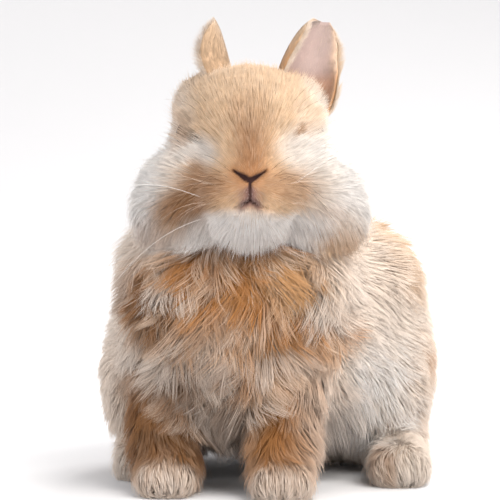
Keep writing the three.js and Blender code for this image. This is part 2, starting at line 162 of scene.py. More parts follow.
def leg(x, y):
    """A foreleg whose middle stands at x and y."""
    return Form([Mass((x, y + 12, 50), (16.5, 18, 25)), Mass((x, y + 2, 34), (14.5, 14, 24)),
                 Mass((x, y - 2, 16), (13, 12, 12))], 8)


def paw_toes(x, y, z):
    """A forepaw's row of toes: its place, yaw and pitch."""
    return (x, y - 18, z), 0, 4.8


def paw(x, y):
    """The forepaw under a foreleg."""
    return Form([Mass((x, y - 8, 8), (12.5, 15, 9.5)), *toes(*paw_toes(x, y, TOE_Z))], 2)


def on_foot(toe, heel, t, z):
    """A place on the line from a hind foot's toe to its heel."""
    return mix(toe[0], heel[0], t), mix(toe[1], heel[1], t), z


def foot_toes(toe, heel, z):
    """A hind foot's row of toes: its place, yaw and pitch."""
    yaw = math.degrees(math.atan2(toe[0] - heel[0], heel[1] - toe[1]))
    return on_foot(toe, heel, 0.02, z), yaw, 5


def foot(toe, heel):
    """A hind foot that lies along the ground."""
    row = foot_toes(toe, heel, TOE_Z)
    sole = ((0.16, 8, (11.5, 16, 9.5)), (0.5, 8, (10, 22, 10)), (0.85, 9, (10, 16, 11)))
    return Form([*(Mass(on_foot(toe, heel, t, z), radii, row[1]) for t, z, radii in sole), *toes(*row)], 4)


LEG_AT = {"left": (13.5, -54), "right": (-35.5, -42)}
FOOT_AT = {"left": ((64, -33), (68, 40)), "right": ((-47, -16), (-36, 50))}

FORMS = {
    "head": Form([
        Mass((0, -37, 152.5), (33, 32, 29)),  # crown
        Mass((0, -57, 153), (25, 21, 19)),  # brow
        Mass((0, -70, 142), (16, 18, 13)),  # bridge of the nose
        Mass((0, -72, 130), (21, 16, 14)),  # muzzle
        *pair((8.5, -79, 128), (9.5, 9, 8)),  # whisker pads
        Mass((0, -67, 117), (14, 12, 9)),  # chin
        *pair((24.5, -46, 132), (21, 27, 21)),  # cheeks
        *pair((26, -40, 119), (22, 24, 14)),  # jowls
        Mass((0, -22, 140), (27, 20, 26)),  # nape
        *pair((20, -22, 162), (11.5, 13, 12)),  # mounds that the ears stand on
    ], 9),
    "lids": Form(pair(EYE_AT, (9.2, 9.2, 9.2)), 1),
    "body": Form([
        Mass((28, 46, 50), (50, 45, 50), BODY_YAW),  # rump
        Mass((29, 26, 80), (44, 46, 33), BODY_YAW),  # back
        Mass((1, 8, 60), (59, 54, 46), BODY_YAW),  # barrel
        Mass((-7, -34, 64), (44, 31, 42)),  # chest
        Mass((-6, -16, 92), (49, 32, 34)),  # shoulders
        Mass((-3, -42, 90), (38, 22, 22)),  # ruff under the chin
        Mass((0, -8, 112), (28, 26, 20)),  # nape of the neck
    ], 16),
    "thigh_left": Form([Mass((56, 30, 42), (24, 43, 40), -8)], 8),
    "thigh_right": Form([Mass((-37, 14, 42), (25, 40, 39), -14)], 8),
    "leg_left": leg(*LEG_AT["left"]),
    "leg_right": leg(*LEG_AT["right"]),
    "paw_left": paw(*LEG_AT["left"]),
    "paw_right": paw(*LEG_AT["right"]),
    "foot_left": foot(*FOOT_AT["left"]),
    "foot_right": foot(*FOOT_AT["right"]),
    "tail": Form([Mass((38, 91, 36), (14, 9, 20), BODY_YAW, -15)], 8),
}
STEMS = [name.split("_")[0] for name in FORMS]  # each form's kind of part

# For each kind of part: how deep the skin lies, then its coat's length, width, rise above the solids, tousle,
# clump and density. The coat's lengths on head and body come from the settings.
Part = namedtuple("Part", "depth length width rise tousle clump density")
PARTS = {
    "head": Part(1.7, 0, 0.68, 0.6, 0.12, 0.25, 1.35),
    "lids": Part(0.9, 0, 0.6, 0.3, 0.1, 0.2, 1.5),
    "body": Part(2.8, 0, 0.8, 4.2, 0.4, 0.4, 0.78),
    "thigh": Part(2.6, 14, 0.82, 3.6, 0.4, 0.4, 0.8),
    "leg": Part(2.0, 11, 0.78, 2.4, 0.35, 0.4, 1.2),
    "paw": Part(1.4, 9, 0.75, 2.6, 0.25, 0.35, 1.4),
    "foot": Part(1.4, 9, 0.75, 2.6, 0.25, 0.35, 1.3),
    "tail": Part(2.4, 14, 0.85, 5.5, 0.9, 0.6, 1.0),
}
HEAD = {"head": 1, "lids": 1}
FLESH = ("head", "neck", "torso", "thigh_left", "thigh_right", "tail", "foreleg_left", "foreleg_right",
         "forepaw_left", "forepaw_right", "hind_foot_left", "hind_foot_right")


def on_left(points):
    """Points, with those of the right side mirrored to the left."""
    return np.concatenate([np.abs(points[:, :1]), points[:, 1:]], axis=1)


def height(points):
    """About how far points lie outside the whole body."""
    result = np.full(len(points), FAR)
    for form in FORMS.values():
        result = melted(result, form.height(points), SEAM)
    middle = EYE_AT + unit(EYE_LOOK) * HOLLOW_OUT
    hollow = HOLLOW_RADIUS - np.linalg.norm(on_left(points) - middle, axis=1)
    return -melted(-result, -hollow, 3)


def normals(points, step=0.6):
    """Which way the body's surface faces at points."""
    slopes = []
    for axis in np.eye(3) * step:
        slopes.append(height(points + axis) - height(points - axis))
    return unit(np.stack(slopes, axis=1))


def settle(points, target, facing=None):
    """Moves points straight up or down until they lie `target` above the body's surface."""
    facing = normals(points) if facing is None else facing
    return points + facing * np.clip(target - height(points), -6, 6)[:, None], facing


def shares(points):
    """How much each part of the body has to say at each point: rows that add up to 1."""
    heights = np.stack([form.height(points) for form in FORMS.values()], axis=1)
    weights = np.exp(-np.minimum(heights - heights.min(axis=1, keepdims=True), 60) / 2.5)
    return weights / weights.sum(axis=1, keepdims=True)


def by_part(weights, other=0, **values):
    """A value for each kind of part, melted by the weights that `shares` gives. `other` is for the rest."""
    return weights @ np.array([values.get(stem, other) for stem in STEMS], float)


def of_part(weights, field):
    """One of the values of PARTS, melted by the weights that `shares` gives."""
    return by_part(weights, **{stem: getattr(part, field) for stem, part in PARTS.items()})


def zone(points, centre, radii, edge=0.35):
    """1 inside an ellipsoid, fading to 0 across its edge."""
    reach = np.linalg.norm((points - np.array(centre)) / np.array(radii), axis=1)
    return smooth((1 + edge - reach) / (2 * edge))


SEEDS = {"waves": 5, "coat": 11, "ears": 3, "whiskers": 7}
WAVES = np.random.default_rng(SEEDS["waves"])
WAVE_TURNS = WAVES.normal(size=(14, 3))
WAVE_STARTS = WAVES.uniform(0, 2 * math.pi, size=(14,))


def ripple(points, size, shift=0):
    """Soft noise from about -1 to 1 whose blots are `size` across."""
    phase = points @ (WAVE_TURNS.T * (2.2 / size)) + WAVE_STARTS + shift * 1.7
    return np.sin(phase).sum(axis=1) / 4.2


# ---------------------------------------------------------------- the face's lines

NOSTRIL = ((0.3, 135.6), (2.3, 136.6), (4.5, 138), (6.6, 139.4))
PHILTRUM = ((0, 136), (0, 131.5), (0, 127))
MOUTH = ((0, 127.3), (2, 126.2), (4.3, 124.9), (6.5, 124.2))


def from_line(points, line):
    """How far points lie from a line on the front of the face, given as x and z for its left half."""
    flat = np.stack([np.abs(points[:, 0]), points[:, 2]], axis=1)
    nearest = np.full(len(points), FAR)
    for start, end in zip(line, line[1:]):
        start, end = np.array(start, float), np.array(end, float)
        run = end - start
        t = np.clip((flat - start) @ run / (run @ run), 0, 1)
        nearest = np.minimum(nearest, np.linalg.norm(flat - start - t[:, None] * run, axis=1))
    return np.where(points[:, 1] < -68, nearest, FAR)


def slit_edge(points):
    """How far points lie outside the dark slits: nostrils that open towards the middle, lips and mouth."""
    across = np.abs(points[:, 0])
    wider = 1 + 0.4 * smooth(-points[:, 0] / 3)
    nostril = from_line(points, NOSTRIL) - mix(1.25, 0.35, smooth(across / 6.5)) * wider
    lips = from_line(points, PHILTRUM) - mix(0.4, 0.75, smooth((points[:, 2] - 130) / 6))
    mouth = from_line(points, MOUTH) - mix(0.75, 0.2, smooth(across / 6))
    return np.minimum(np.minimum(nostril, lips), mouth)


OPENING = (math.radians(50), math.radians(37))  # half the opening between the lids, level and upright
OPENING_AHEAD = math.radians(6)  # how far in front of the eye's gaze the middle of the opening lies
EYE_REACH = 16  # what lies further from an eye's middle is not in its opening


def eye_axes(look):
    """The level and the upright direction across the way that an eye looks."""
    level = unit(np.cross((0, 0, 1), look))
    return level, np.cross(look, level)


def eye_angles(points):
    """How far round the eye points lie from the middle of its opening, level and upright, and how far
    ahead."""
    away = unit(on_left(points) - EYE_AT)
    look = unit(EYE_LOOK)
    level, upright = eye_axes(look)
    ahead = away @ look
    return (np.arctan2(away @ level, ahead) + OPENING_AHEAD, np.arctan2(away @ upright, np.abs(ahead)),
            ahead)


def eye_centres(points):
    """The middle of the eye on each point's own side."""
    return np.where(points[:, :1] < 0, EYE_AT * (-1, 1, 1), EYE_AT)


def in_opening(points, margin=1.0):
    """Whether points lie in front of the opening between the lids."""
    level, upright, ahead = eye_angles(points)
    near = np.linalg.norm(points - eye_centres(points), axis=1) < EYE_REACH
    return near & (ahead > -0.2) & (np.hypot(level / OPENING[0], upright / OPENING[1]) < margin)


# ---------------------------------------------------------------- settings


def colour(name, description, default):
    """A colour setting, with its default as screen values."""
    return FloatVectorProperty(name=name, description=description, default=default, subtype="COLOR_GAMMA",
                               size=3, min=0, max=1)


class RabbitColours(bpy.types.PropertyGroup):
    """The colours of skin, coat and eyes."""

    peach: colour("Peach", "Forehead and crown", (0.91, 0.775, 0.635))
    tan: colour("Tan", "Bridge of the nose and muzzle", (0.71, 0.54, 0.40))
    # Brown also serves as painted shade: under the chin and on the forelegs.
    brown: colour("Brown", "Dark patches and the depth of the chest", (0.60, 0.41, 0.235))
    orange: colour("Orange", "Chest, forelegs and the outside of the ears", (0.80, 0.55, 0.31))
    fawn: colour("Fawn", "Back and haunches", (0.87, 0.70, 0.52))
    cream: colour("Cream", "Flanks and the tips of the coat", (0.97, 0.912, 0.862))
    white: colour("White", "Chin, feet and the rims of the ears", (0.985, 0.97, 0.96))
    # Shaded cream is painted shade: on the belly, between and behind the legs, over the right foreleg and low
    # on the breast. The ears mix it in as a darker tone.
    shade: colour("Shaded cream", "Belly and the backs of the legs", (0.55, 0.47, 0.41))
    lip: colour("Lip", "Bare skin of the lips", (0.50, 0.38, 0.38))
    pink: colour("Pink", "Inside of the ears", (0.67, 0.585, 0.565))
    dark: colour("Dark", "Nostrils and the line of the mouth", (0.20, 0.11, 0.11))
    eye: colour("Eye", "Iris", (0.16, 0.08, 0.05))


def measure(name, description, default):
    """A length setting, in metres."""
    return FloatProperty(name=name, description=description, default=default, unit="LENGTH")


def power(name, default):
    """The strength of a light."""
    return FloatProperty(name=name, description="Power in watts", default=default)


class RabbitCoat(bpy.types.PropertyGroup):
    """Sizes of the coat."""

    tufts: IntProperty(name="Tufts", description="Tufts on head, body and legs", default=130000, min=1000)
    chest_length: measure("Chest length", "Length of the hair on the chest", 0.0175)
    body_length: measure("Body length", "Length of the hair on back and flanks", 0.0145)
    face_length: measure("Face length", "Length of the hair round the nose", 0.0035)
    strand: measure("Strand width", "Width of one tuft at its root", 0.00047)
    cell: measure("Skin cell", "Size of the skin's faces", 0.0021)


class RabbitFace(bpy.types.PropertyGroup):
    """Sizes of ears, whiskers and claws."""

    ear_length: measure("Ear length", "Ear from root to tip", 0.052)
    ear_half_width: measure("Ear half width", "Half the ear's width along its curl", 0.0152)
    ear_thickness: measure("Ear thickness", "Thickness of the ear's skin", 0.0014)
    whisker_width: measure("Whisker width", "Thickness of a whisker at its root", 0.00026)
    claw_length: measure("Claw length", "Length of a claw", 0.007)


class RabbitStage(bpy.types.PropertyGroup):
    """Camera, lights and floor."""

    distance: measure("Camera distance", "From the camera to the nose", 1.3)
    elevation: FloatProperty(name="Camera elevation", description="How far the camera looks down",
                             default=math.radians(5), subtype="ANGLE")
    lens: FloatProperty(name="Lens", description="Focal length in millimetres", default=228.3)
    key: power("Key light", 27.0)
    fill: power("Fill light", 9.0)
    rim: power("Rim light", 16.0)
    floor: colour("Floor", "Floor and backdrop", (0.86, 0.86, 0.87))


SETTINGS = {"rabbit_colours": RabbitColours, "rabbit_coat": RabbitCoat, "rabbit_face": RabbitFace,
            "rabbit_stage": RabbitStage}


def linear(screen):
    """A screen colour as the linear values that shaders use."""
    screen = np.asarray(screen, float)
    return np.where(screen <= 0.04045, screen / 12.92, ((screen + 0.055) / 1.055) ** 2.4)


def palette():
    """The colour settings by name, linear."""
    colours = bpy.context.scene.rabbit_colours
    return {name: linear(getattr(colours, name)) for name in RabbitColours.__annotations__}


# ---------------------------------------------------------------- the markings, with painted shade and light

# Soft blots over the ground colour, later ones over earlier ones: colour, centre, radii, strength. Some are
# painted shade or painted light, as their comments say.
BODY_BLOTS = (
    ("fawn", (30, 40, 112), (62, 75, 34), 0.8),  # saddle
    ("fawn", (66, 40, 94), (18, 44, 20), 0.6),  # upper rump
    ("orange", (82, 18, 54), (12, 22, 9), 0.5),  # spot on the left thigh
    ("cream", (40, -20, 74), (24, 44, 40), 0.75),  # left flank behind the shoulder
    ("cream", (-58, -20, 70), (14, 50, 44), 0.6),  # right flank
    ("orange", (-4, -66, 96), (46, 34, 34), 1.0),  # breast
    ("brown", (-4, -66, 108), (40, 30, 7), 0.5),  # painted shade under the chin
    ("fawn", (16, -66, 97), (15, 30, 11), 0.6),
    ("cream", (37, -60, 96), (14, 34, 20), 0.85),  # left edge of the breast
    ("brown", (-40, -56, 87), (11, 34, 16), 0.95),  # right edge of the breast
    ("cream", (-31, -66, 93), (6, 30, 5), 0.8),  # pale tuft on the breast
    ("cream", (-14, -66, 80), (15, 30, 7), 0.35),  # tufts across the middle of the breast
    ("tan", (-13, -66, 74), (14, 30, 11), 0.4),
    ("brown", (17, -66, 78), (5, 30, 8), 0.6),  # parting
    ("orange", (30, -60, 70), (12, 30, 9), 0.8),
    ("cream", (-24, -62, 65), (24, 34, 6), 0.55),  # tufts over the tops of the legs
    ("cream", (12, -70, 64), (18, 30, 6), 0.35),
    # painted shade low on the breast
    ("shade", (4, -66, 62), (18, 30, 9), 0.3),
    ("brown", (-30, -58, 53), (26, 34, 8), 0.8),
    ("orange", (14, -66, 53), (22, 30, 8), 0.75),
    ("shade", (-28, -60, 62), (17, 30, 12), 0.6),  # painted shade over the right foreleg
    ("shade", (-12, 0, 22), (26, 64, 24), 1.0),  # painted shade on the belly
    ("white", (50, -10, 40), (18, 40, 26), 1.0),  # front of the left haunch: white fur, at full strength as painted light against the shade under the body
    ("brown", (-34, -50, 40), (15, 30, 13), 0.8),  # over the right foreleg: its orange-brown fur, darkened as painted shade
    ("tan", (57, -32, 15), (5, 14, 9), 0.6),  # inner toe of the left foot
    ("shade", (-10, -50, 44), (13, 30, 18), 0.9),  # painted shade between the forelegs
)
FACE_BLOTS = (
    ("peach", (0, -46, 172), (28, 46, 22), 0.9),  # forehead
    ("cream", (28, -44, 165), (9, 30, 14), 0.5),  # sides of the brow
    ("cream", (-29, -44, 160), (9, 30, 12), 0.5),
    ("white", (19, -68, 144), (12, 14, 8), 0.7),  # below the eyes
    ("white", (-19, -68, 144), (11, 14, 7), 0.75),
    ("tan", (0, -80, 142), (9, 18, 12), 1.0),  # bridge of the nose
    ("tan", (0, -70, 155), (9, 20, 10), 0.5),
    ("tan", (13, -80, 133), (14, 15, 6), 0.7),  # whisker pads
    ("tan", (-15, -78, 132), (13, 15, 8), 1.0),
    ("brown", (0, -80, 141), (8, 18, 12), 0.3),
    ("white", (38, -48, 136), (20, 32, 25), 1.0),  # outer cheeks
    ("white", (-41, -48, 134), (18, 32, 24), 1.0),
    ("brown", (-22, -68, 124), (15, 20, 6), 0.95),  # patch on the right jaw
    ("tan", (-34, -58, 117), (14, 24, 7), 0.5),
    ("tan", (27, -66, 122), (9, 18, 4), 0.45),  # left jaw
    ("white", (1, -62, 108), (36, 40, 10), 1.0),  # chin
    ("white", (18, -68, 117), (16, 26, 8), 0.9),
    ("white", (-9, -76, 116.5), (13, 18, 7), 0.9),
    ("white", (0, -80, 119.5), (15, 14, 4.5), 0.95),
    ("fawn", (36, -54, 107), (16, 34, 11), 0.85),  # under the left jowl
    ("lip", (0, -86, 129), (5, 12, 4), 0.6),
    ("brown", (-28, -56, 151), (5, 12, 8), 0.5),  # painted shade in the hollow beside the right eye
)
CORNERS = (  # the front corners of the eyes: colour, centre, radii, strength
    ("eye", (-22.6, -63, 152), (1.4, 9, 2.8), 0.85),
    ("brown", (20.2, -64, 155), (1.9, 9, 2.4), 0.95),
)


def coat_colour(points, weights, colours):
    """The coat's colour at places on the body, painted shade and light included."""

    def blend(name, share, strength=1.0):
        tone = colours[name] if isinstance(name, str) else name
        return mix(ground, tone, (share * strength)[:, None])

    cream = colours["cream"]
    ground = by_part(weights, head=colours["peach"], lids=cream, body=cream,
                     thigh=mix(cream, colours["fawn"], 0.3), leg=colours["orange"],
                     paw=mix(cream, colours["tan"], 0.3), foot=cream * 0.85,
                     tail=mix(cream, colours["white"], 0.4))
    wander = points + np.stack([ripple(points, 14, k) for k in (1, 2, 3)], axis=1) * 2.5
    on_body = by_part(weights, other=1, head=0, lids=0, leg=0.3, paw=0)
    for blots, part, soft in ((BODY_BLOTS, on_body, 0.4), (FACE_BLOTS, by_part(weights, **HEAD), 0.5)):
        for name, centre, radii, strength in blots:
            place = mix(points, wander, min(1, min(radii) / 9) ** 2)
            ground = blend(name, zone(place, centre, radii, soft) * strength * part)
    on_leg = by_part(weights, leg=1)
    # the forelegs' brown: partly their own colour, partly painted shade
    ground = blend("brown", on_leg, 0.55)
    # painted shade on the right foreleg, away from the key light
    ground = blend(colours["brown"] * 0.6, on_leg * smooth((-18 - points[:, 0]) / 8), 0.5)
    ground = blend("cream", smooth((points[:, 0] - 13) / 10) * on_leg, 0.45)  # outer side of the left foreleg
    ground = blend("cream", smooth((20 - points[:, 2]) / 14) * on_leg, 0.55)  # down to the paws
    ground = blend("shade", smooth((points[:, 1] + 44) / 14) * on_leg, 0.7)  # painted shade on the backs of the legs
    lip = from_line(points, MOUTH)
    lip = np.minimum(lip, from_line(points, PHILTRUM) + np.maximum(points[:, 2] - 132, 0))
    middle = 1 - smooth((np.abs(points[:, 0]) - 3) / 3.5)
    ground = blend("lip", smooth((3.4 - lip) / 2.6) * 0.85 * middle)
    # painted shade round the nostrils
    ground = blend("brown", smooth((3.4 - from_line(points, NOSTRIL)) / 3.4), 0.7)
    return blend("dark", smooth((0.35 - slit_edge(points)) / 0.7))


# ---------------------------------------------------------------- meshes


def read_points(mesh):
    """A mesh's vertices as rows."""
    flat = np.empty(len(mesh.vertices) * 3, np.float32)
    mesh.vertices.foreach_get("co", flat)
    return flat.reshape(-1, 3).astype(float)


def write_points(mesh, points):
    """Moves a mesh's vertices to points."""
    mesh.vertices.foreach_set("co", np.ascontiguousarray(points, np.float32).ravel())
    mesh.update()


def paint(mesh, name, colours):
    """Stores a colour at each vertex."""
    layer = mesh.attributes.new(name, "FLOAT_COLOR", "POINT")
    rows = np.ones((len(colours), 4), np.float32)
    rows[:, :3] = colours
    layer.data.foreach_set("color", rows.ravel())


def stand(name, data):
    """A new object in the scene."""
    thing = bpy.data.objects.new(name, data)
    bpy.context.scene.collection.objects.link(thing)
    return thing


def shelve(mesh, name, material):
    """Makes a piece of a finished mesh, which rides on the rabbit."""
    mesh.shade_smooth()
    mesh.materials.append(material)
    piece = stand(name, mesh)
    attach(piece, "root")
    return piece


def verts_of(geometry):
    """The vertices among what a bmesh operator made."""
    return [g for g in geometry if isinstance(g, bmesh.types.BMVert)]


def edges_of(geometry):
    """The edges among what a bmesh operator made."""
    return [g for g in geometry if isinstance(g, bmesh.types.BMEdge)]


def take(form, name):
    """The mesh that a bmesh holds, which is freed."""
    mesh = bpy.data.meshes.new(name)
    form.to_mesh(mesh)
    form.free()
    return mesh


def unwrap(piece):
    """Unwraps a piece's own shape into its map, OFBake, for its colours."""
    piece.data.uv_layers.new(name="OFBake")
    bpy.context.view_layer.objects.active = piece
    piece.select_set(True)
    bpy.ops.object.mode_set(mode="EDIT")
    bpy.ops.mesh.select_all(action="SELECT")
    bpy.ops.uv.smart_project(angle_limit=math.radians(66), island_margin=0.002)
    bpy.ops.object.mode_set(mode="OBJECT")
    piece.select_set(False)


# ---------------------------------------------------------------- materials


class Nodes:
    """A material's nodes, made one after another."""

    def __init__(self, name, **sockets):
        """`sockets` are the constant values of the shader's own sockets, with _ for a space."""
        self.material = bpy.data.materials.new(name)
        self.material.use_nodes = True
        self.tree = self.material.node_tree
        self.shader = self.tree.nodes["Principled BSDF"]
        self.place = self.add("ShaderNodeTexCoord").outputs["Object"]
        for key, value in sockets.items():
            self.shader.inputs[key.replace("_", " ")].default_value = value

    def add(self, kind, inputs=None, **settings):
        node = self.tree.nodes.new(kind)
        for key, value in settings.items():
            setattr(node, key, value)
        for key, value in (inputs or {}).items():
            self.feed(node, key, value)
        return node

    def feed(self, node, key, value):
        if isinstance(value, bpy.types.NodeSocket):
            self.tree.links.new(value, node.inputs[key])
        else:
            node.inputs[key].default_value = value

    def noise(self, scale, detail):
        inputs = {"Vector": self.place, "Scale": scale, "Detail": detail}
        return self.add("ShaderNodeTexNoise", inputs).outputs["Fac"]

    def bump(self, scale, detail, strength, distance):
        """Fine relief."""
        relief = self.add("ShaderNodeBump", {"Height": self.noise(scale, detail), "Strength": strength,
                                             "Distance": distance})
        self.feed(self.shader, "Normal", relief.outputs["Normal"])

    def painted(self, scale, span, tones):
        """The painted colour, flecked: where the noise runs over `span`, the colour is times `tones`."""
        colour = self.add("ShaderNodeAttribute", attribute_name="coat").outputs["Color"]
        light = self.add("ShaderNodeMapRange", {"Value": self.noise(scale, 3.0), "From Min": span[0],
                                                "From Max": span[1], "To Min": tones[0], "To Max": tones[1]})
        flecked = self.add("ShaderNodeMix", {"Factor": 1.0, "A": colour, "B": light.outputs["Result"]},
                           data_type="RGBA", blend_type="MULTIPLY").outputs["Result"]
        self.feed(self.shader, "Base Color", flecked)
        return flecked


def hair_material(name, roughness, sheen, bump, glow=0.0):
    """Hair: the painted colour, streaked and flecked. `glow` is the share of light that passes through."""
    nodes = Nodes(name, Roughness=roughness, Specular_IOR_Level=0.25, Sheen_Weight=sheen, Sheen_Roughness=0.5)
    streaked = nodes.painted(160.0, (0.3, 0.7), (0.9, 1.1))
    nodes.bump(2400.0, 1.0, bump, 0.0003)
    if glow:
        through = nodes.add("ShaderNodeBsdfTranslucent", {"Color": streaked})
        both = nodes.add("ShaderNodeMixShader", {"Fac": glow})
        nodes.tree.links.new(nodes.shader.outputs["BSDF"], both.inputs[1])
        nodes.tree.links.new(through.outputs["BSDF"], both.inputs[2])
        nodes.tree.links.new(both.outputs["Shader"], nodes.tree.nodes["Material Output"].inputs["Surface"])
    return nodes.material


# ---------------------------------------------------------------- strands: tufts, whiskers and claws


def strand_template(sides, stations):
    """A thin cone cut across at even steps, with its root drawn together to a point too: each vertex's step
    and its place round it, and the triangles."""
    form = bmesh.new()
    bmesh.ops.create_cone(form, cap_ends=False, segments=sides, radius1=1, radius2=0, depth=1)
    bmesh.ops.remove_doubles(form, verts=form.verts, dist=1e-5)
    for i in range(1, stations - 1):
        cut = (0, 0, i / (stations - 1) - 0.5)
        bmesh.ops.bisect_plane(form, geom=form.verts[:] + form.edges[:] + form.faces[:], plane_co=cut,
                               plane_no=(0, 0, 1))
    root = [v for v in form.verts if v.co.z < -0.499]
    bmesh.ops.pointmerge(form, verts=root, merge_co=(0, 0, -0.5))
    bmesh.ops.triangulate(form, faces=form.faces)
    bmesh.ops.recalc_face_normals(form, faces=form.faces)
    places = np.array([v.co for v in form.verts])
    step = np.rint((places[:, 2] + 0.5) * (stations - 1)).astype(int)
    ring = unit(places[:, :2]) * ((step > 0) & (step < stations - 1))[:, None]
    triangles = np.array([[v.index for v in f.verts] for f in form.faces])
    form.free()
    return step, ring, triangles


PATCH = (0.0012, 0.0026)  # how wide and how long a tuft lies on its map, OFBake


def strand_mesh(name, template, paths, facing, width, thickness, colours, maps=None, softness=0.0):
    """One mesh of many strands. `paths` holds each strand's points, `facing` which way its flat faces, and
    `softness` how far its shading follows that rather than its own edges."""
    step, ring, triangles = template
    count, stations = paths.shape[:2]
    ahead = np.gradient(paths, axis=1)
    side = unit(np.cross(facing, ahead))
    over = unit(np.cross(ahead, side))
    points = (paths[:, step] + side[:, step] * (width[:, step] * ring[:, 0])[..., None]
              + over[:, step] * (thickness[:, step] * ring[:, 1])[..., None])
    corners = (triangles[None] + (np.arange(count) * len(step))[:, None, None]).reshape(-1)
    mesh = bpy.data.meshes.new(name)
    mesh.vertices.add(count * len(step))
    mesh.loops.add(len(corners))
    mesh.polygons.add(len(corners) // 3)
    mesh.loops.foreach_set("vertex_index", corners.astype(np.int32))
    mesh.polygons.foreach_set("loop_start", np.arange(0, len(corners), 3, dtype=np.int32))
    write_points(mesh, metres(points.reshape(-1, 3)))
    mesh.update(calc_edges=True)
    paint(mesh, "coat", colours[:, step].reshape(-1, 3))
    if softness:
        mesh.shade_smooth()
        own = side[:, step] * ring[:, :1] + over[:, step] * ring[:, 1:]
        soft = unit(facing[:, step] * softness + own * (1 - softness))
        mesh.normals_split_custom_set_from_vertices(soft.reshape(-1, 3).tolist())
    if maps is not None:
        patch = np.stack([ring[:, 0] * PATCH[0], (step / (stations - 1) - 0.5) * PATCH[1]], axis=1)
        spread = np.clip(maps[:, None] + patch[None], 0, 1).reshape(-1, 2)
        layer = mesh.uv_layers.new(name="OFBake")
        layer.data.foreach_set("uv", spread[corners].astype(np.float32).ravel())
    return mesh


TUFT_STATIONS = 4
# A kind of tuft: its template, the stations of its path that it uses, and its width at each.
LONG_TUFT = (strand_template(3, 4), [0, 1, 2, 3], np.array([0.5, 1.0, 0.75, 0.1]))
SHORT_TUFT = (strand_template(3, 3), [0, 1, 3], np.array([0.5, 1.0, 0.1]))
FLATNESS = 0.6  # a tuft's thickness as a share of its width
TRIANGLES_PER_PIECE = 196000


# ---------------------------------------------------------------- the skin


def skin_depth(points, weights):
    """How deep the skin lies under the solids' surface."""
    near = np.min([from_line(points, line) for line in (NOSTRIL, PHILTRUM, MOUTH)], axis=0)
    return mix(of_part(weights, "depth"), 0.6, smooth((9 - near) / 8))


def rough_skin(cell):
    """Every mass as a ball, made one closed surface."""
    form = bmesh.new()
    for part in FORMS.values():
        for m in part.masses:
            bmesh.ops.create_icosphere(form, subdivisions=3, radius=1, matrix=m.placed)
    balls = stand("balls", take(form, "balls"))
    remesh = balls.modifiers.new("skin", "REMESH")
    remesh.mode = "VOXEL"
    remesh.voxel_size = cell
    graph = bpy.context.evaluated_depsgraph_get()
    mesh = bpy.data.meshes.new_from_object(balls.evaluated_get(graph))
    bpy.data.objects.remove(balls)
    mesh.name = "skin"
    return mesh


# Where the skin has finer faces: the middle of each place and its reach.
FINE_SKIN = ((NOSE, 17), (EYE_AT, 12), (EYE_AT * (-1, 1, 1), 12))
UNDER_COAT = (0.9, 0.82, 0.74)  # how much darker the skin is than the coat over it
SLIT_DEPTH = 2.0


def sunk_eyes(points):
    """Draws the skin in the opening of the lids down behind the eyeballs."""
    chosen = in_opening(points, 1.15)
    centres = eye_centres(points)
    sunk = centres + unit(points - centres) * EYE_RADIUS * 0.7
    return np.where(chosen[:, None], sunk, points)


class RABBIT_OT_skin(bpy.types.Operator):
    """Makes the one skin under the coat, with the lines of the nose and mouth"""

    bl_idname = "rabbit.skin"
    bl_label = "Skin"

    def execute(self, context):
        mesh = rough_skin(context.scene.rabbit_coat.cell * 1000)
        form = bmesh.new()
        form.from_mesh(mesh)
        near = [e for e in form.edges
                if any(all((v.co - Vector(spot)).length < reach for v in e.verts)
                       for spot, reach in FINE_SKIN)]
        bmesh.ops.subdivide_edges(form, edges=near, cuts=2, use_grid_fill=True)
        form.to_mesh(mesh)
        form.free()
        points = read_points(mesh)
        for _ in range(4):
            points, facing = settle(points, -skin_depth(points, shares(points)))
        weights = shares(points)
        points = points - facing * (SLIT_DEPTH * smooth((0.7 - slit_edge(points)) / 1.2))[:, None]
        points = sunk_eyes(points)
        points[:, 2] = np.maximum(points[:, 2], 0.2)
        write_points(mesh, metres(points))
        paint(mesh, "coat", coat_colour(points, weights, palette()) * UNDER_COAT)
        skin = shelve(mesh, "skin", hair_material("skin_coat", 0.85, 0.2, 0.6))
        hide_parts(*FLESH)
        unwrap(skin)
        return {"FINISHED"}


# ---------------------------------------------------------------- the coat


# Places where the coat is special: centre and radii, on the left where they come in pairs.
JAW_SIDE = ((14, -66, 115), (9, 16, 10))  # where it parts to both sides of the chin
CHIN = ((0, -66, 112), (30, 22, 8))
GUARD = ((26.5, -56.5, 152), (6.5, 7, 9))  # in front of the eyes
GUARD_DENSE = ((26, -57, 152), (6, 7, 9))
CROWN = ((24, -26, 168), (12, 18, 10))  # at the roots of the ears
APRON = ((43, -30, 34), (15, 18, 16))  # where it hangs free in front of the left haunch

LIE = {"body": (0.3, 0.8, -0.75), "thigh": (0.1, 0.7, -0.75), "leg": (0.0, 0.05, -1.0),
       "paw": (0.0, -0.8, -0.6), "foot": (0.05, -0.55, -0.7), "tail": (0.1, 0.5, -0.85)}


def on_breast(points):
    """How far points lie on the breast, by how far forward they are."""
    return smooth((-30 - points[:, 1]) / 18)


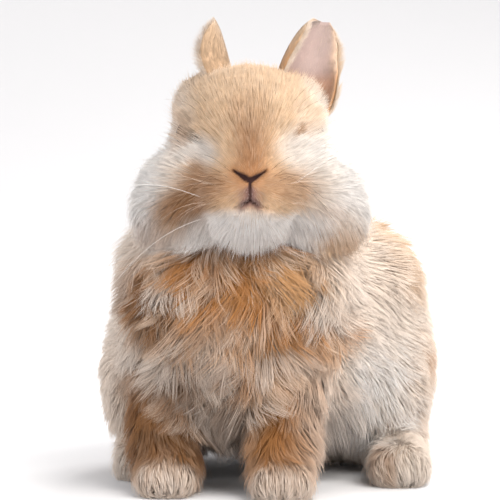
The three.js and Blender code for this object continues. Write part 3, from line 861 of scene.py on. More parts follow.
def lie(points, weights):
    """Which way the coat lies: back from the nose, round the eyes, back along the body and down the legs."""
    head = unit(points - (NOSE + (0, 4, 0))) + np.array([0, 0.45, 0])
    for side in (-1, 1):
        head[:, 0] += side * 1.1 * zone(points * (side, 1, 1), *JAW_SIDE)
    head[:, 2] -= 0.9 * smooth((134 - points[:, 2]) / 16) * smooth((points[:, 1] + 84) / 16)
    from_eye = points - eye_centres(points)
    far = np.linalg.norm(from_eye, axis=1, keepdims=True)
    from_eye = from_eye / far
    inwards = np.minimum((head * from_eye).sum(axis=1, keepdims=True), 0)
    head -= 1.2 * from_eye * inwards * smooth((21 - far) / 9)
    fall = np.tile([0.06, -0.15, -1.0], (len(points), 1))
    fall[:, 0] += points[:, 0] * 0.004
    body = mix(np.array(LIE["body"]), fall, smooth((-34 - points[:, 1]) / 14)[:, None])
    ways = {**LIE, "head": head, "lids": head, "body": body}
    return unit(sum(weights[:, k:k + 1] * np.array(ways[stem]) for k, stem in enumerate(STEMS)))


def head_length(points, face):
    """The length of the hair on the head: short round nose and eyes, long on jowls, chin and crown. Also how
    far each place is on the jowls, the chin, in front of the eyes and on the crown."""
    from_nose = np.linalg.norm(points - NOSE, axis=1)
    length = mix(face, face * 2.1, smooth((from_nose - 8) / 34))
    jowl = smooth((147 - points[:, 2]) / 24) * smooth((np.abs(points[:, 0]) - 11) / 16)
    jowl = jowl * smooth((points[:, 1] + 74) / 20)
    length = mix(length, face * 3.8, jowl)
    chin = zone(points, *CHIN)
    length = mix(length, face * 3.2, chin)
    corner = np.min([np.linalg.norm(points - np.array(mark[1]), axis=1) for mark in CORNERS], axis=0)
    length = length * mix(0.28, 1, smooth((corner - 3) / 8))
    from_eye = np.linalg.norm(points - eye_centres(points), axis=1)
    length = length * mix(0.5, 1, smooth((from_eye - 10) / 10))
    guard = zone(on_left(points), *GUARD) * smooth((corner - 2) / 2.5)
    length = mix(length, face * 1.7, guard)
    crown = zone(on_left(points), *CROWN)
    return length * (1 + 0.6 * crown), jowl, chin, guard, crown


def tuft_style(points, weights, coat):
    """Each tuft's length, width, rise above the solids' surface, tousle and how much it clumps."""
    on_head, jowl, chin, guard, crown = head_length(points, coat.face_length * 1000)
    breast = on_breast(points)
    on_body = mix(coat.body_length, coat.chest_length, breast) * 1000
    head_share = by_part(weights, head=1, lids=0.6)
    body_share = by_part(weights, body=1)
    length = of_part(weights, "length") + on_head * head_share + on_body * body_share
    length = length + 16 * zone(points, *APRON)
    from_nose = np.linalg.norm(points - NOSE, axis=1)
    width = of_part(weights, "width") * mix(0.6, 1, smooth((from_nose - 5) / 22)) * coat.strand * 1000
    rise = of_part(weights, "rise") + (3.2 * jowl + 1.6 * chin + 4.2 * guard + 1.8 * crown) * head_share
    rise = rise + 1.4 * breast * body_share
    tousle = of_part(weights, "tousle") + 0.35 * breast * body_share + (0.2 * jowl + 0.2 * chin) * head_share
    clump = of_part(weights, "clump") + 0.2 * breast * body_share
    return length, width, rise, tousle, clump


def comb(roots, weights, length, low, high, sway):
    """Points along each tuft, following the lie of the coat from its root on the skin, and which way its flat
    faces there. Under the jaw and in front of the left haunch the tufts hang."""
    path = [roots]
    here = roots
    facing = normals(roots)
    flats = [facing]
    hang = smooth((0.25 - facing[:, 2]) / 0.6) * smooth((124 - roots[:, 2]) / 8) * by_part(weights, head=0.75)
    hang = (hang * smooth((-30 - roots[:, 1]) / 12) + zone(roots, *APRON))[:, None]
    for i in range(1, TUFT_STATIONS):
        t = i / (TUFT_STATIONS - 1)
        ahead = lie(here, weights)
        ahead = ahead + np.cross(facing, ahead) * (sway * (0.6 + 0.4 * t))[:, None]
        ahead = unit(ahead - facing * (ahead * facing).sum(axis=1, keepdims=True))
        step = (length / (TUFT_STATIONS - 1))[:, None]
        free = here + unit(facing + (0, -0.1, -0.8)) * step
        here = here + ahead * step
        facing = normals(here)
        here, _ = settle(here, mix(low, high, t ** 0.7), facing)
        here = mix(here, free, hang * t)
        path.append(here)
        flats.append(facing)
    return np.stack(path, axis=1), np.stack(flats, axis=1)


def nearest(points, leaders):
    """The number of the leader that lies nearest to each point."""
    tree = kdtree.KDTree(len(leaders))
    for i, leader in enumerate(leaders):
        tree.insert(leader, i)
    tree.balance()
    return np.array([tree.find(point)[1] for point in points])


def gather(paths, strength, rng, group):
    """Draws neighbouring tufts together at their tips. Gives each tuft the number of its lock."""
    leaders = rng.choice(len(paths), max(1, len(paths) // group), replace=False)
    mine = nearest(paths[:, 0], paths[leaders, 0])
    lead = paths[leaders][mine]
    for i in range(1, paths.shape[1]):
        t = i / (paths.shape[1] - 1)
        paths[:, i] = mix(paths[:, i], lead[:, i], (strength * t ** 1.3)[:, None])
    return paths, mine


def sample(skin, density, count, rng):
    """Evenly scattered places on a piece, by how dense the coat is: places in millimetres and map places."""
    mesh = skin.data
    mesh.calc_loop_triangles()
    total = len(mesh.loop_triangles)
    loops = np.empty(total * 3, np.int32)
    mesh.loop_triangles.foreach_get("loops", loops)
    corners = np.empty(total * 3, np.int32)
    mesh.loop_triangles.foreach_get("vertices", corners)
    maps = np.empty(len(mesh.loops) * 2, np.float32)
    mesh.uv_layers["OFBake"].data.foreach_get("uv", maps)
    maps = maps.reshape(-1, 2)[loops.reshape(-1, 3)]
    points = (read_points(mesh) * 1000 + MIDDLE)[corners.reshape(-1, 3)]
    area = np.linalg.norm(np.cross(points[:, 1] - points[:, 0], points[:, 2] - points[:, 0]), axis=1) / 2
    share = np.cumsum(area * density(points.mean(axis=1)))
    marks = (np.arange(count) + rng.uniform(0, 1, count)) / count * share[-1]
    chosen = np.searchsorted(share, marks)
    a, b = rng.uniform(0, 1, (2, count))
    flip = a + b > 1
    a, b = np.where(flip, 1 - a, a), np.where(flip, 1 - b, b)
    spread = np.stack([1 - a - b, a, b], axis=1)[..., None]
    return (points[chosen] * spread).sum(axis=1), (maps[chosen] * spread).sum(axis=1)


def coat_density(points):
    """How dense the coat is, least under the feet."""
    weights = shares(points)
    front = smooth((-40 - points[:, 1]) / 20) * by_part(weights, head=1)
    dense = of_part(weights, "density") + 0.85 * on_breast(points) * by_part(weights, body=1)
    dense = dense + 0.9 * front + 1.5 * zone(on_left(points), *GUARD_DENSE)
    return dense * np.where(points[:, 2] < 1.5, 0.1, 1)


def coat_regions(points, stems):
    """Which tufts belong to each piece of the coat, by where they grow and on what kind of part."""
    y, z = points[:, 1], points[:, 2]
    on_head = np.isin(stems, ["head", "lids"])
    body = stems == "body"
    return {
        "coat_face": on_head & (y < -56),
        "coat_head": on_head & (y >= -56) & (z > 140),
        "coat_cheeks": on_head & (y >= -56) & (z <= 140),
        "coat_breast": body & (y < -36),
        "coat_flanks": body & (y >= -36) & (y < 30),
        "coat_rump": body & (y >= 30),
        "coat_haunches": np.isin(stems, ["thigh", "tail"]),
        "coat_legs": stems == "leg",
        "coat_feet": np.isin(stems, ["paw", "foot"]),
    }


SHORT_PIECES = ("coat_face", "coat_head")
LOCK_SIZES = {"coat_face": 6, "coat_head": 6, "coat_feet": 6, "coat_breast": 19}  # tufts in a lock, else 12
TUFTS_IN_SWATH = 90  # tufts that share their luck
WISPS = 0.12  # the share of tufts that are thin, long and stand out
REACH, REACH_AT_SIDES = 12, 5.6  # how far tufts may stand up, and may at the sides and behind
LOWEST = 0.3  # how near to the floor hair may come
# What each tuft keeps: its points, which way it faces at each, its width, how much it clumps, how shaggy its
# place is, how pale its swath is and how light it is itself.
Tufts = namedtuple("Tufts", "paths flats width clump shaggy paleness lightness")


class RABBIT_OT_coat(bpy.types.Operator):
    """Grows the coat over the skin: tufts that follow its lie and gather into locks"""

    bl_idname = "rabbit.coat"
    bl_label = "Coat"

    def execute(self, context):
        coat = context.scene.rabbit_coat
        rng = np.random.default_rng(SEEDS["coat"])
        roots, maps = sample(bpy.data.objects["skin"], coat_density, coat.tufts, rng)
        keep = ~in_opening(roots, 1.08) & (slit_edge(roots) > 0.15)
        roots, maps = roots[keep], maps[keep]
        weights = shares(roots)
        tufts = self.grow(roots, weights, coat, rng)
        over_eye = self.over_eye(tufts.paths)
        tufts.paths[over_eye] = mix(tufts.paths[over_eye, :1], tufts.paths[over_eye], 0.4)
        over_eye = self.over_eye(tufts.paths)
        colours = palette()
        ground = coat_colour(roots, weights, colours)
        material = hair_material("coat_hair", 0.75, 0.2, 0.2, 0.25)
        stems = np.array(STEMS)[weights.argmax(axis=1)]
        for name, chosen in coat_regions(roots, stems).items():
            picked = np.flatnonzero(chosen & ~over_eye)
            mine = Tufts(*(rows[picked] for rows in tufts))
            paths, lock = gather(mine.paths, mine.clump, rng, LOCK_SIZES.get(name, 12))
            lock_luck = rng.uniform(0, 1, lock.max() + 1)[lock]
            pale = mix(lock_luck, mine.paleness, 0.55 * mine.shaggy)
            run = self.shaded(ground[picked], colours, weights[picked], pale, mine.lightness)
            if name == "coat_face":
                run = self.eye_corners(paths, run, colours)
            kind = SHORT_TUFT if name in SHORT_PIECES else LONG_TUFT
            self.lay(name, kind, paths, mine.flats, mine.width, run, maps[picked], material)
        return {"FINISHED"}

    def grow(self, roots, weights, coat, rng):
        """Combs all tufts. Each has some luck of its own, and some that it shares with its swath."""
        length, width, rise, tousle, clump = tuft_style(roots, weights, coat)
        luck = rng.uniform(-1, 1, (4, len(roots)))
        front = smooth((-24 - roots[:, 1]) / 20)
        shaggy = by_part(weights, body=1, thigh=1, leg=1, tail=0.8, paw=0.5, foot=0.5)
        shaggy = shaggy * mix(0.55, 1, front)
        leaders = rng.choice(len(roots), len(roots) // TUFTS_IN_SWATH, replace=False)
        swath = nearest(roots, roots[leaders])
        swath_luck = rng.uniform(-1, 1, (4, len(leaders)))[:, swath]
        length = length * (1 + 0.2 * luck[0] + 0.25 * swath_luck[0] * shaggy)
        length = np.minimum(length, 0.4 + slit_edge(roots) * 0.9)
        high = rise * (1 + 0.5 * luck[1]) * (1 + 0.7 * swath_luck[1] * shaggy ** 2)
        sway = tousle * (ripple(roots, 18, 4) * 0.8 + ripple(roots, 7, 9) * 0.45 + 0.45 * luck[2]
                         + 1.2 * swath_luck[2] * shaggy)
        wisps = rng.uniform(0, 1, len(roots)) < WISPS
        high = np.where(wisps, high + rise * 0.5 + 2.4, high)
        length = np.where(wisps, length * by_part(weights, other=1.25, head=1.6, tail=1.6), length)
        width = np.where(wisps, width * 0.4, width)
        sway = np.where(wisps, sway + 1.2 * tousle * luck[2], sway)
        outermost = np.maximum(np.abs(roots[:, 0] - MIDDLE[0]) - 54, roots[:, 1] - 78)
        high = np.minimum(high, mix(REACH, REACH_AT_SIDES, smooth(outermost / 12)))
        paths, flats = comb(roots, weights, length, -skin_depth(roots, weights), high, sway)
        paths[:, :, 2] = np.maximum(paths[:, :, 2], LOWEST)
        lifted = by_part(weights, paw=0.5, foot=0.8)[:, None, None]
        flats = unit(flats + lifted * np.array([0, -1, 0.5]))
        return Tufts(paths, flats, width, clump, shaggy, 0.5 + 0.5 * swath_luck[3], luck[3])

    def eye_corners(self, paths, run, colours):
        """Darkens what of the tufts lies in the front corners of the eyes."""
        spots = paths.reshape(-1, 3)
        for tone, centre, radii, strength in CORNERS:
            share = (zone(spots, centre, radii, 0.25) * strength).reshape(len(paths), -1, 1)
            run = mix(run, colours[tone], np.maximum(share, share[:, :1] * 0.6))
        return run

    def over_eye(self, paths):
        """Whether tufts reach into the opening between the lids."""
        return np.any([in_opening(paths[:, i], 0.95) for i in range(1, TUFT_STATIONS)], axis=0)

    def shaded(self, ground, colours, weights, pale, luck):
        """Each tuft's colour from its root to its tip. `pale` says from 0 to 1 how bleached its lock is."""
        on_head = by_part(weights, **HEAD)
        bleach = mix(0.03 + 0.87 * smooth((pale - 0.35) / 0.45), 0.05 + 0.3 * pale, on_head)
        # the legs' tips bleach less: partly their own colour, partly painted shade
        bleach = bleach * (1 - 0.75 * by_part(weights, leg=1))
        golden = 1 - smooth((ground[:, 2] / ground[:, 0] - 0.2) / 0.5)
        tips = mix(ground, mix(colours["cream"], colours["fawn"], golden[:, None] * 0.45), bleach[:, None])
        depth = mix(np.array([0.92, 0.86, 0.8]), np.array([0.76, 0.66, 0.52]), golden[:, None])
        short = mix(np.array([0.97, 0.95, 0.93]), np.array([0.86, 0.79, 0.7]), golden[:, None])
        depth = mix(depth, short, on_head[:, None])
        steps = np.linspace(0, 1, TUFT_STATIONS)[None, :, None]
        run = mix((ground * depth)[:, None], tips[:, None], steps ** 0.9)
        return run * (1 + mix(0.09, 0.14, on_head) * luck)[:, None, None]

    def lay(self, name, kind, paths, flats, width, colours, maps, material):
        """Makes the pieces of one region."""
        template, chosen, taper = kind
        pieces = math.ceil(len(paths) * len(template[2]) / TRIANGLES_PER_PIECE)
        for k in range(pieces):
            part = slice(k, None, pieces)
            widths = width[part, None] / 2 * taper
            label = name if pieces == 1 else f"{name}_{k + 1}"
            mesh = strand_mesh(label, template, paths[part][:, chosen], flats[part][:, chosen], widths,
                               widths * FLATNESS, colours[part][:, chosen], maps[part], softness=0.85)
            shelve(mesh, label, material)


# ---------------------------------------------------------------- the ears

EARS = {
    "left": {"root": (11, -32, 155), "lean": (0, 0.48, 0.8), "open": (0.82, -0.57, 0.1), "sideways": 22,
             "twist": 0.55, "uncurl": 0, "flare": 1, "golden": 0.7,
             "fluff": (-1, -0.7, 0.06, 0.3)},
    "right": {"root": (-6, -32, 155), "lean": (0, 0.5, 0.8), "open": (-0.98, 0, 0.1), "sideways": -13,
              "twist": -0.3, "uncurl": 0.6, "flare": 0, "golden": 0.2,
              "fluff": (0.6, 1, 0.12, 0.5)},
}
EAR_BACK = 3  # how far an ear's tip leans back
# Along the ear from root to tip: how far round it curls, how wide it spreads, and how far one edge is drawn
# sideways.
EAR_CURL = ((0, 0.6), (0.17, 1.5), (0.35, 1.9), (0.5, 1.75), (0.75, 1.45), (1, 0.9))
EAR_SPREAD = ((0, 0.25), (0.17, 1), (0.35, 1.5), (0.55, 1.5), (0.75, 1.3), (0.87, 0.92), (0.96, 0.42),
              (1, 0.08))
EAR_FLARE = ((0, 9), (0.5, -1.2), (0.8, -1), (1, 3))


def along(stations, t):
    """Reads a curve given as stations, with its corners rounded off."""
    xs, ys = np.array(stations, float).T
    spread = np.minimum(0.1, np.minimum(t, 1 - t))
    return np.mean([np.interp(t + spread * k, xs, ys) for k in np.linspace(-1, 1, 9)], axis=0)


def ear_axes(shape):
    """Which way an ear rises, which way its hollow faces, and its side."""
    rise = unit(np.array(shape["lean"], float))
    face = np.array(shape["open"], float)
    face = unit(face - rise * (face @ rise))
    return rise, face, np.cross(face, rise)


def ear_points(shape, face_settings, across, up, shell=0.0):
    """Places on an ear: `across` from -1 to 1, `up` from 0 to 1, `shell` outwards from its middle layer."""
    rise, face, side = ear_axes(shape)
    curl = along(EAR_CURL, up) * (1 - shape["uncurl"] * smooth((up - 0.5) / 0.37))
    radius = face_settings.ear_half_width * 1000 * along(EAR_SPREAD, up) / curl
    angle = across * curl - shape["twist"] * smooth((0.75 - up) / 0.45)
    reach = radius + shell
    flared = shape["flare"] * along(EAR_FLARE, up) * smooth(-across)
    return (np.array(shape["root"], float)
            + rise * (face_settings.ear_length * 1000 * up)[:, None]
            - face * (EAR_BACK * up * up)[:, None]
            + np.array([1, 0, 0]) * (shape["sideways"] * up * up + flared)[:, None]
            + side * (reach * np.sin(angle))[:, None]
            + face * (radius - reach * np.cos(angle))[:, None])


# The hair of an ear: its piece, how many, over which stretch across and up the ear, on which face (1 is the
# back), length, how far it stands off, the colours of root and tip, and width. The rim has both edges for its
# stretch across, and each ear has its own stretches of fluff.
Down = namedtuple("Down", "name count across up way length stand_off root tip width")
EAR_DOWN = (
    Down("back", 5600, (-1, 1), (0.1, 0.98), 1, 6.0, 0.7, "shade", "peach", 0.32),
    Down("rim", 3400, None, (0.1, 0.985), 1, 3.0, 0.8, "peach", "white", 0.13),
    Down("hollow", 2600, (-0.97, 0.97), (0.16, 0.94), -1, 4.6, 0.7, "pink", "cream", 0.16),
    Down("fluff", 420, None, None, 1, 8.0, 2.8, "peach", "white", 0.2),
)
DOWN_STEPS = (0, 0.33, 1)  # how far along a hair its stations lie
EAR_GRID = (20, 36)


class RABBIT_OT_ears(bpy.types.Operator):
    """Makes the ears: bent leaves of skin with down on them and a fringe round the rim"""

    bl_idname = "rabbit.ears"
    bl_label = "Ears"

    def execute(self, context):
        face = context.scene.rabbit_face
        colours = palette()
        skin_material = hair_material("ear_skin", 0.6, 0.1, 0.4)
        down_material = hair_material("ear_down", 0.72, 0.35, 0.2, 0.25)
        rng = np.random.default_rng(SEEDS["ears"])
        for side, shape in EARS.items():
            mesh = self.leaf(f"ear_{side}_skin", shape, face, colours)
            ear = shelve(mesh, f"ear_{side}_skin", skin_material)
            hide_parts(f"ear_{side}")
            unwrap(ear)
            for kind in EAR_DOWN:
                if kind.name == "fluff":
                    kind = kind._replace(across=shape["fluff"][:2], up=shape["fluff"][2:])
                name = f"ear_{side}_{kind.name}"
                shelve(self.down(name, kind, shape, face, colours, rng), name, down_material)
        return {"FINISHED"}

    def leaf(self, name, shape, face, colours):
        """An ear's skin: two bent sheets, joined round the rim."""
        form = bmesh.new()
        bmesh.ops.create_grid(form, x_segments=EAR_GRID[0], y_segments=EAR_GRID[1], size=1)
        layers = [form.verts[:]]
        copied = bmesh.ops.duplicate(form, geom=form.verts[:] + form.edges[:] + form.faces[:])["geom"]
        layers.append(verts_of(copied))
        tones = []
        for layer, way in zip(layers, (-1, 1)):
            spots = np.array([v.co for v in layer])
            across, up = spots[:, 0], spots[:, 1] / 2 + 0.5
            half_skin = face.ear_thickness * 500
            for v, place in zip(layer, ear_points(shape, face, across, up, way * half_skin)):
                v.co = place
            rim = smooth((np.abs(across) - 0.75) / 0.25)[:, None]
            inside = mix(colours["pink"], colours["peach"], rim * 0.6)
            inside = mix(inside, colours["orange"], smooth((0.6 - up) / 0.2)[:, None] * 0.4)
            golden = smooth((0.8 - up) / 0.4)[:, None] * shape["golden"]
            outside = mix(mix(colours["peach"], colours["shade"], 0.4), colours["orange"], golden) * 0.85
            tones.append(inside if way < 0 else outside)
        bmesh.ops.bridge_loops(form, edges=[e for e in form.edges if e.is_boundary])
        bmesh.ops.recalc_face_normals(form, faces=form.faces)
        mesh = take(form, name)
        paint(mesh, "coat", np.concatenate(tones))
        write_points(mesh, metres(read_points(mesh)))
        return mesh

    def down(self, name, kind, shape, face, colours, rng):
        """One kind of hair on an ear."""
        template, _, taper = SHORT_TUFT
        count, way = kind.count, kind.way
        up = rng.uniform(*kind.up, count)
        if kind.across is None:
            across = np.where(rng.uniform(0, 1, count) < 0.5, -1, 1) * rng.uniform(0.9, 1, count)
        else:
            across = rng.uniform(*kind.across, count)
        if way < 0:
            across = np.sign(across) * np.abs(across) ** 0.6
        tilt = rng.uniform(-0.1, 0.1, count)
        outward = across * (0.6 if kind.across is None else 0.08)
        long = kind.length * rng.uniform(0.6, 1.2, count) * mix(1, 0.75, up) / (face.ear_length * 1000)
        stations = []
        half_skin = face.ear_thickness * 500
        for t in DOWN_STEPS:
            lifted = way * (half_skin * 0.4 + kind.stand_off * t ** 1.2)
            leaning = across + (outward + tilt) * t * 0.35
            there = (shape, face, leaning, np.minimum(up + long * t * 0.9, 1))
            stations.append((ear_points(*there, lifted), ear_points(*there, lifted + way)))
        paths, away = (np.stack(places, axis=1) for places in zip(*stations))
        share = rng.uniform(0.3, 0.7, (count, 1, 1))
        root = np.broadcast_to(mix(colours[kind.root], colours["peach"], 0.35) * 0.9, (count, 3))
        if kind.name == "back":
            low = shape["golden"] * smooth((0.7 - up) / 0.35)
            root = mix(root, colours["orange"] * 0.9, low[:, None] * 0.6)
        run = mix(root[:, None], colours[kind.tip], share * np.array(DOWN_STEPS)[None, :, None])
        run = run * rng.uniform(0.85, 0.95, (count, 1, 1))
        flats, softness = unit(away - paths), 0.8
        if kind.name in ("rim", "fluff"):
            softness = 0.45
            flats = np.broadcast_to(unit(ear_axes(shape)[1] * 0.3 + (0, -0.3, 0.8)), paths.shape)
        width = np.full((count, 1), kind.width / 2) * taper
        maps = np.stack([across / 2 + 0.5, up], axis=1)
        return strand_mesh(name, template, paths, flats, width, width * FLATNESS, run, maps, softness)


# ---------------------------------------------------------------- the eyes


def eye_material():
    """Wet and dark, from the painted colours of iris and pupil."""
    nodes = Nodes("eye_gloss", Roughness=0.15, Specular_IOR_Level=0.15, Coat_Weight=0.3, Coat_IOR=1.25,
                  Coat_Roughness=0.03)
    nodes.painted(900.0, (0.0, 1.0), (0.8, 1.2))
    return nodes.material


# The rings of a lid, from its edge back: how far out as a share of the opening, and height above the eyeball.
LID_RINGS = ((0.94, 0.02), (0.96, 0.55), (1.06, 0.8), (1.2, 0.75), (1.4, 0.5), (1.65, 0.1))
LID_THICKNESS = 0.3
CORNEA = 0.05  # how far the cornea stands out, as a share of the eye's radius
PUPIL = 0.86  # how far ahead in the eye the pupil starts, as a share of the eye's radius


class RABBIT_OT_eyes(bpy.types.Operator):
    """Makes the eyeballs and their lids"""

    bl_idname = "rabbit.eyes"
    bl_label = "Eyes"

    def execute(self, context):
        colours = palette()
        gloss = eye_material()
        lid_material = hair_material("lid_skin", 0.55, 0.1, 0.3)
        for side, sign in (("left", 1), ("right", -1)):
            low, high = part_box(f"eye_{side}")
            centre = (np.array(low) + np.array(high)) / 2 * 1000 + MIDDLE
            look = unit(EYE_LOOK * (sign, 1, 1))
            turn = Vector(look).to_track_quat("Z", "Y").to_matrix().to_4x4()
            form = bmesh.new()
            bmesh.ops.create_uvsphere(form, u_segments=40, v_segments=28, radius=EYE_RADIUS)
            ahead = np.array([v.co.z for v in form.verts]) / EYE_RADIUS
            for v, front in zip(form.verts, ahead):
                v.co *= 1 + CORNEA * max(0.0, (front - 0.75) / 0.25) ** 2
            bmesh.ops.transform(form, matrix=Matrix.Translation(centre) @ turn, verts=form.verts)
            mesh = take(form, f"eyeball_{side}")
            pupil = smooth((ahead - PUPIL) / 0.05)
            paint(mesh, "coat", mix(colours["eye"], colours["dark"] * 0.2, pupil[:, None]))
            write_points(mesh, metres(read_points(mesh)))
            ball = shelve(mesh, f"eyeball_{side}", gloss)
            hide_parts(f"eye_{side}")
            self.lids(side, sign, centre, look, colours, lid_material)
        return {"FINISHED"}

    def lids(self, side, sign, centre, look, colours, material):
        """A lid all round the opening: its edge, then rings that run back under the coat."""
        level, upright = eye_axes(look)
        form = bmesh.new()
        layers = [bmesh.ops.create_circle(form, segments=48, radius=1)["verts"]]
        edges = form.edges[:]
        for _ in LID_RINGS[1:]:
            made = bmesh.ops.extrude_edge_only(form, edges=edges)["geom"]
            edges = edges_of(made)
            layers.append(verts_of(made))
        for (share, above), layer in zip(LID_RINGS, layers):
            for v in layer:
                around = math.atan2(v.co.y, v.co.x)
                a = OPENING[0] * share * math.cos(around) - OPENING_AHEAD
                b = OPENING[1] * share * math.sin(around)
                far = math.hypot(a, b)
                away = look * math.cos(far) + (level * a + upright * b) / far * math.sin(far)
                v.co = centre + away * (EYE_RADIUS + above)
        bmesh.ops.recalc_face_normals(form, faces=form.faces)
        bmesh.ops.solidify(form, geom=form.faces[:], thickness=LID_THICKNESS)
        mesh = take(form, f"lids_{side}")
        points = read_points(mesh)
        a, b, _ = eye_angles(points * (sign, 1, 1))
        share = np.hypot(a / OPENING[0], b / OPENING[1])
        tone = mix(colours["dark"], colours["tan"] * 0.8, smooth((share - 0.98) / 0.2)[:, None])
        write_points(mesh, metres(points))
        paint(mesh, "coat", tone)
        shelve(mesh, f"lids_{side}", material)


# ---------------------------------------------------------------- whiskers and claws


class RABBIT_OT_whiskers(bpy.types.Operator):
    """Makes the whiskers, long and white, and the short dark ones by the nose"""

    bl_idname = "rabbit.whiskers"
    bl_label = "Whiskers"

    def execute(self, context):
        width = context.scene.rabbit_face.whisker_width * 1000
        colours = palette()
        rng = np.random.default_rng(SEEDS["whiskers"])
        hairs = []  # root, end, colour and width as a share of the setting
        for sign in (1, -1):
            for i in range(6):  # long pale ones on the whisker pads
                row, place = divmod(i, 3)
                out = rng.uniform(30, 46)
                hairs.append(((sign * (10 + place * 1.6), -83 + place * 1.5, 131 - row * 3.5),
                              (sign * out, -72 + rng.uniform(-8, 14), 138 - row * 18 + place * 4 - out * 0.3),
                              mix(colours["cream"], colours["tan"], 0.4), 0.36))
            for i in range(7):  # short dark ones beside the nose
                hairs.append(((sign * (6 + i * 1.1), -86 + i * 0.8, 137 - (i % 3) * 2.5),
                              (sign * (24 + 2 * i), -76, 146 - i * 5), colours["brown"] * 0.35, 0.55))
            for i in range(3):  # over the eyes
                hairs.append(((sign * (15 + 2 * i), -62, 163 - i),
                              (sign * (30 + 3 * i), -66 - 2 * i, 176 - 4 * i), colours["brown"] * 0.5, 0.5))
        for root, end in (((-14, -80, 128), (-68, -62, 126)), ((-16, -74, 120), (-64, -64, 82)),
                          ((14, -80, 131), (66, -60, 150))):  # the longest
            hairs.append((root, end, colours["white"], 0.5))
        roots, ends, tones, wides = (np.array(column, float) for column in zip(*hairs))
        roots, _ = settle(roots, -1.0)
        stations = 11
        steps = np.linspace(0, 1, stations)
        paths = roots[:, None] + (ends - roots)[:, None] * steps[None, :, None]
        bow = 0.12 * np.linalg.norm(ends - roots, axis=1)[:, None] * np.sin(math.pi * steps)
        paths[:, :, 2] += bow
        paths[:, :, 1] -= bow * 0.7
        flats = np.broadcast_to(np.array([0.0, 0.0, 1.0]), paths.shape)
        widths = (width * wides)[:, None] / 2 * mix(1.0, 0.25, steps)
        mesh = strand_mesh("whiskers", strand_template(5, stations), paths, flats, widths, widths,
                           np.repeat(tones[:, None], stations, axis=1))
        shelve(mesh, "whiskers", hair_material("whisker_hair", 0.35, 0.0, 0.05))
        return {"FINISHED"}


CLAW_Z = 5.0
CLAW_WIDTH = 1.25  # half the width of a claw at its root


class RABBIT_OT_claws(bpy.types.Operator):
    """Makes the claws, bent cones at the ends of the toes"""

    bl_idname = "rabbit.claws"
    bl_label = "Claws"

    def execute(self, context):
        length = context.scene.rabbit_face.claw_length * 1000
        colours = palette()
        rows = [paw_toes(x, y, CLAW_Z) for x, y in LEG_AT.values()]
        rows += [foot_toes(toe, heel, CLAW_Z) for toe, heel in FOOT_AT.values()]
        stations = 6
        steps = np.linspace(0, 1, stations)
        paths = []
        for at, yaw, pitch in rows:
            turn = math.radians(yaw)
            for x, y in toe_places(at, yaw, pitch, ahead=1.5):
                paths.append(np.stack([x + math.sin(turn) * steps * length,
                                       y - math.cos(turn) * steps * length,
                                       at[2] + 0.6 - 3.6 * steps ** 2], axis=1))
        paths = np.array(paths)
        flats = np.broadcast_to(np.array([0.0, 0.0, 1.0]), paths.shape)
        widths = np.broadcast_to(CLAW_WIDTH * np.sqrt(1 - steps ** 1.6 * 0.96), (len(paths), stations))
        tones = mix(colours["lip"] * 0.8, colours["cream"], 0.5 * steps[:, None])
        mesh = strand_mesh("claws", strand_template(8, stations), paths, flats, widths * 0.8, widths,
                           np.broadcast_to(tones, paths.shape))
        shelve(mesh, "claws", hair_material("claw_horn", 0.4, 0.0, 0.1))
        return {"FINISHED"}


# ---------------------------------------------------------------- the stage


TARGET = (0, -88, 107)  # what camera and lights look at
LIGHTS = (  # name, size, place and tint
    ("key", 1.1, (0.75, -0.8, 1.15), (1.0, 0.97, 0.92)),
    ("fill", 1.2, (-1.3, -0.9, 0.6), (0.96, 0.98, 1.0)),
    ("rim", 0.8, (0.6, 1.0, 1.1), (1.0, 0.98, 0.95)),
)
SKY = (0.98, 0.965, 0.95, 1)
SKY_STRENGTH = 0.95


def aim(way):
    """The turn of a lamp or camera that looks `way`."""
    return way.to_track_quat("-Z", "Y").to_euler()


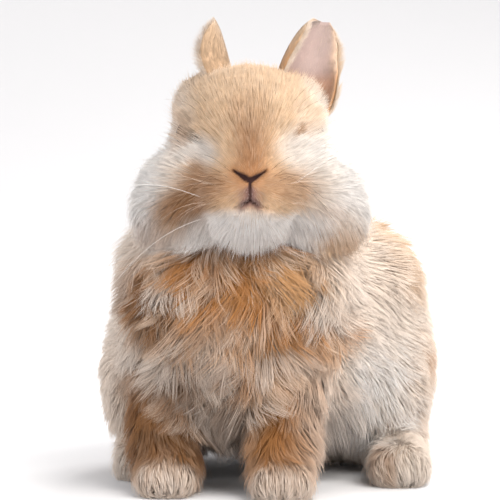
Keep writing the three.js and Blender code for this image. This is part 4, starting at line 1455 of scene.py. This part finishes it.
class RABBIT_OT_stage(bpy.types.Operator):
    """Makes the floor with its backdrop, the lights and the camera"""

    bl_idname = "rabbit.stage"
    bl_label = "Stage"

    def execute(self, context):
        stage = context.scene.rabbit_stage
        target = Vector(metres(TARGET))
        self.floor(stage)
        for name, size, at, tint in LIGHTS:
            light = bpy.data.lights.new(name, "AREA")
            light.energy = getattr(stage, name)
            light.size = size
            light.color = tint
            lamp = stand(name, light)
            lamp.location = at
            lamp.rotation_euler = aim(target - Vector(at))
        world = bpy.data.worlds.new("studio")
        world.use_nodes = True
        sky = world.node_tree.nodes["Background"]
        sky.inputs["Color"].default_value = SKY
        sky.inputs["Strength"].default_value = SKY_STRENGTH
        context.scene.world = world

        camera = stand("camera", bpy.data.cameras.new("camera"))
        camera.data.lens = stage.lens
        camera.data.sensor_width = 36
        back = Vector((0, -math.cos(stage.elevation), math.sin(stage.elevation)))
        camera.location = target + back * stage.distance
        camera.rotation_euler = aim(-back)
        context.scene.camera = camera
        context.scene.view_settings.view_transform = "Standard"
        return {"FINISHED"}

    def floor(self, stage):
        """A sheet of pale paper that bends up into a wall behind the rabbit."""
        form = bmesh.new()
        edges = [form.edges.new([form.verts.new((x, -4, 0)) for x in (-5, 5)])]
        made = bmesh.ops.extrude_edge_only(form, edges=edges)["geom"]
        bmesh.ops.translate(form, verts=verts_of(made), vec=(0, 5.2, 0))
        made = bmesh.ops.spin(form, geom=edges_of(made), cent=(0, 1.2, 1.2), axis=(1, 0, 0),
                              angle=math.pi / 2, steps=20, use_duplicate=False)["geom_last"]
        made = bmesh.ops.extrude_edge_only(form, edges=edges_of(made))["geom"]
        bmesh.ops.translate(form, verts=verts_of(made), vec=(0, 0, 3))
        bmesh.ops.recalc_face_normals(form, faces=form.faces)
        mesh = take(form, "floor")
        nodes = Nodes("floor_paper", Base_Color=(*linear(stage.floor), 1), Roughness=0.8)
        nodes.bump(60.0, 4.0, 0.05, 0.001)
        mesh.materials.append(nodes.material)
        mesh.shade_smooth()
        stand("floor", mesh)


# ---------------------------------------------------------------- panel and running

OPERATORS = (RABBIT_OT_stage, RABBIT_OT_skin, RABBIT_OT_coat, RABBIT_OT_ears, RABBIT_OT_eyes,
             RABBIT_OT_whiskers, RABBIT_OT_claws)


class RABBIT_PT_pieces(bpy.types.Panel):
    """Lists the rabbit's settings and pieces"""

    bl_idname = "RABBIT_PT_pieces"
    bl_label = "Dwarf Rabbit"
    bl_space_type = "VIEW_3D"
    bl_region_type = "UI"
    bl_category = "Rabbit"

    def draw(self, context):
        for key, group in SETTINGS.items():
            box = self.layout.box()
            for name in group.__annotations__:
                box.prop(getattr(context.scene, key), name)
        for operator in OPERATORS:
            self.layout.operator(operator.bl_idname)


CLASSES = (*SETTINGS.values(), *OPERATORS, RABBIT_PT_pieces)


def register():
    """Adds the settings, operators and panel to Blender."""
    for cls in CLASSES:
        bpy.utils.register_class(cls)
    for key, group in SETTINGS.items():
        setattr(bpy.types.Scene, key, PointerProperty(type=group))


def unregister():
    """Takes them out again."""
    for key in SETTINGS:
        delattr(bpy.types.Scene, key)
    for cls in reversed(CLASSES):
        bpy.utils.unregister_class(cls)


def main():
    """Makes every piece."""
    register()
    for operator in OPERATORS:
        group, name = operator.bl_idname.split(".")
        getattr(getattr(bpy.ops, group), name)()


if __name__ == "__main__":
    main()
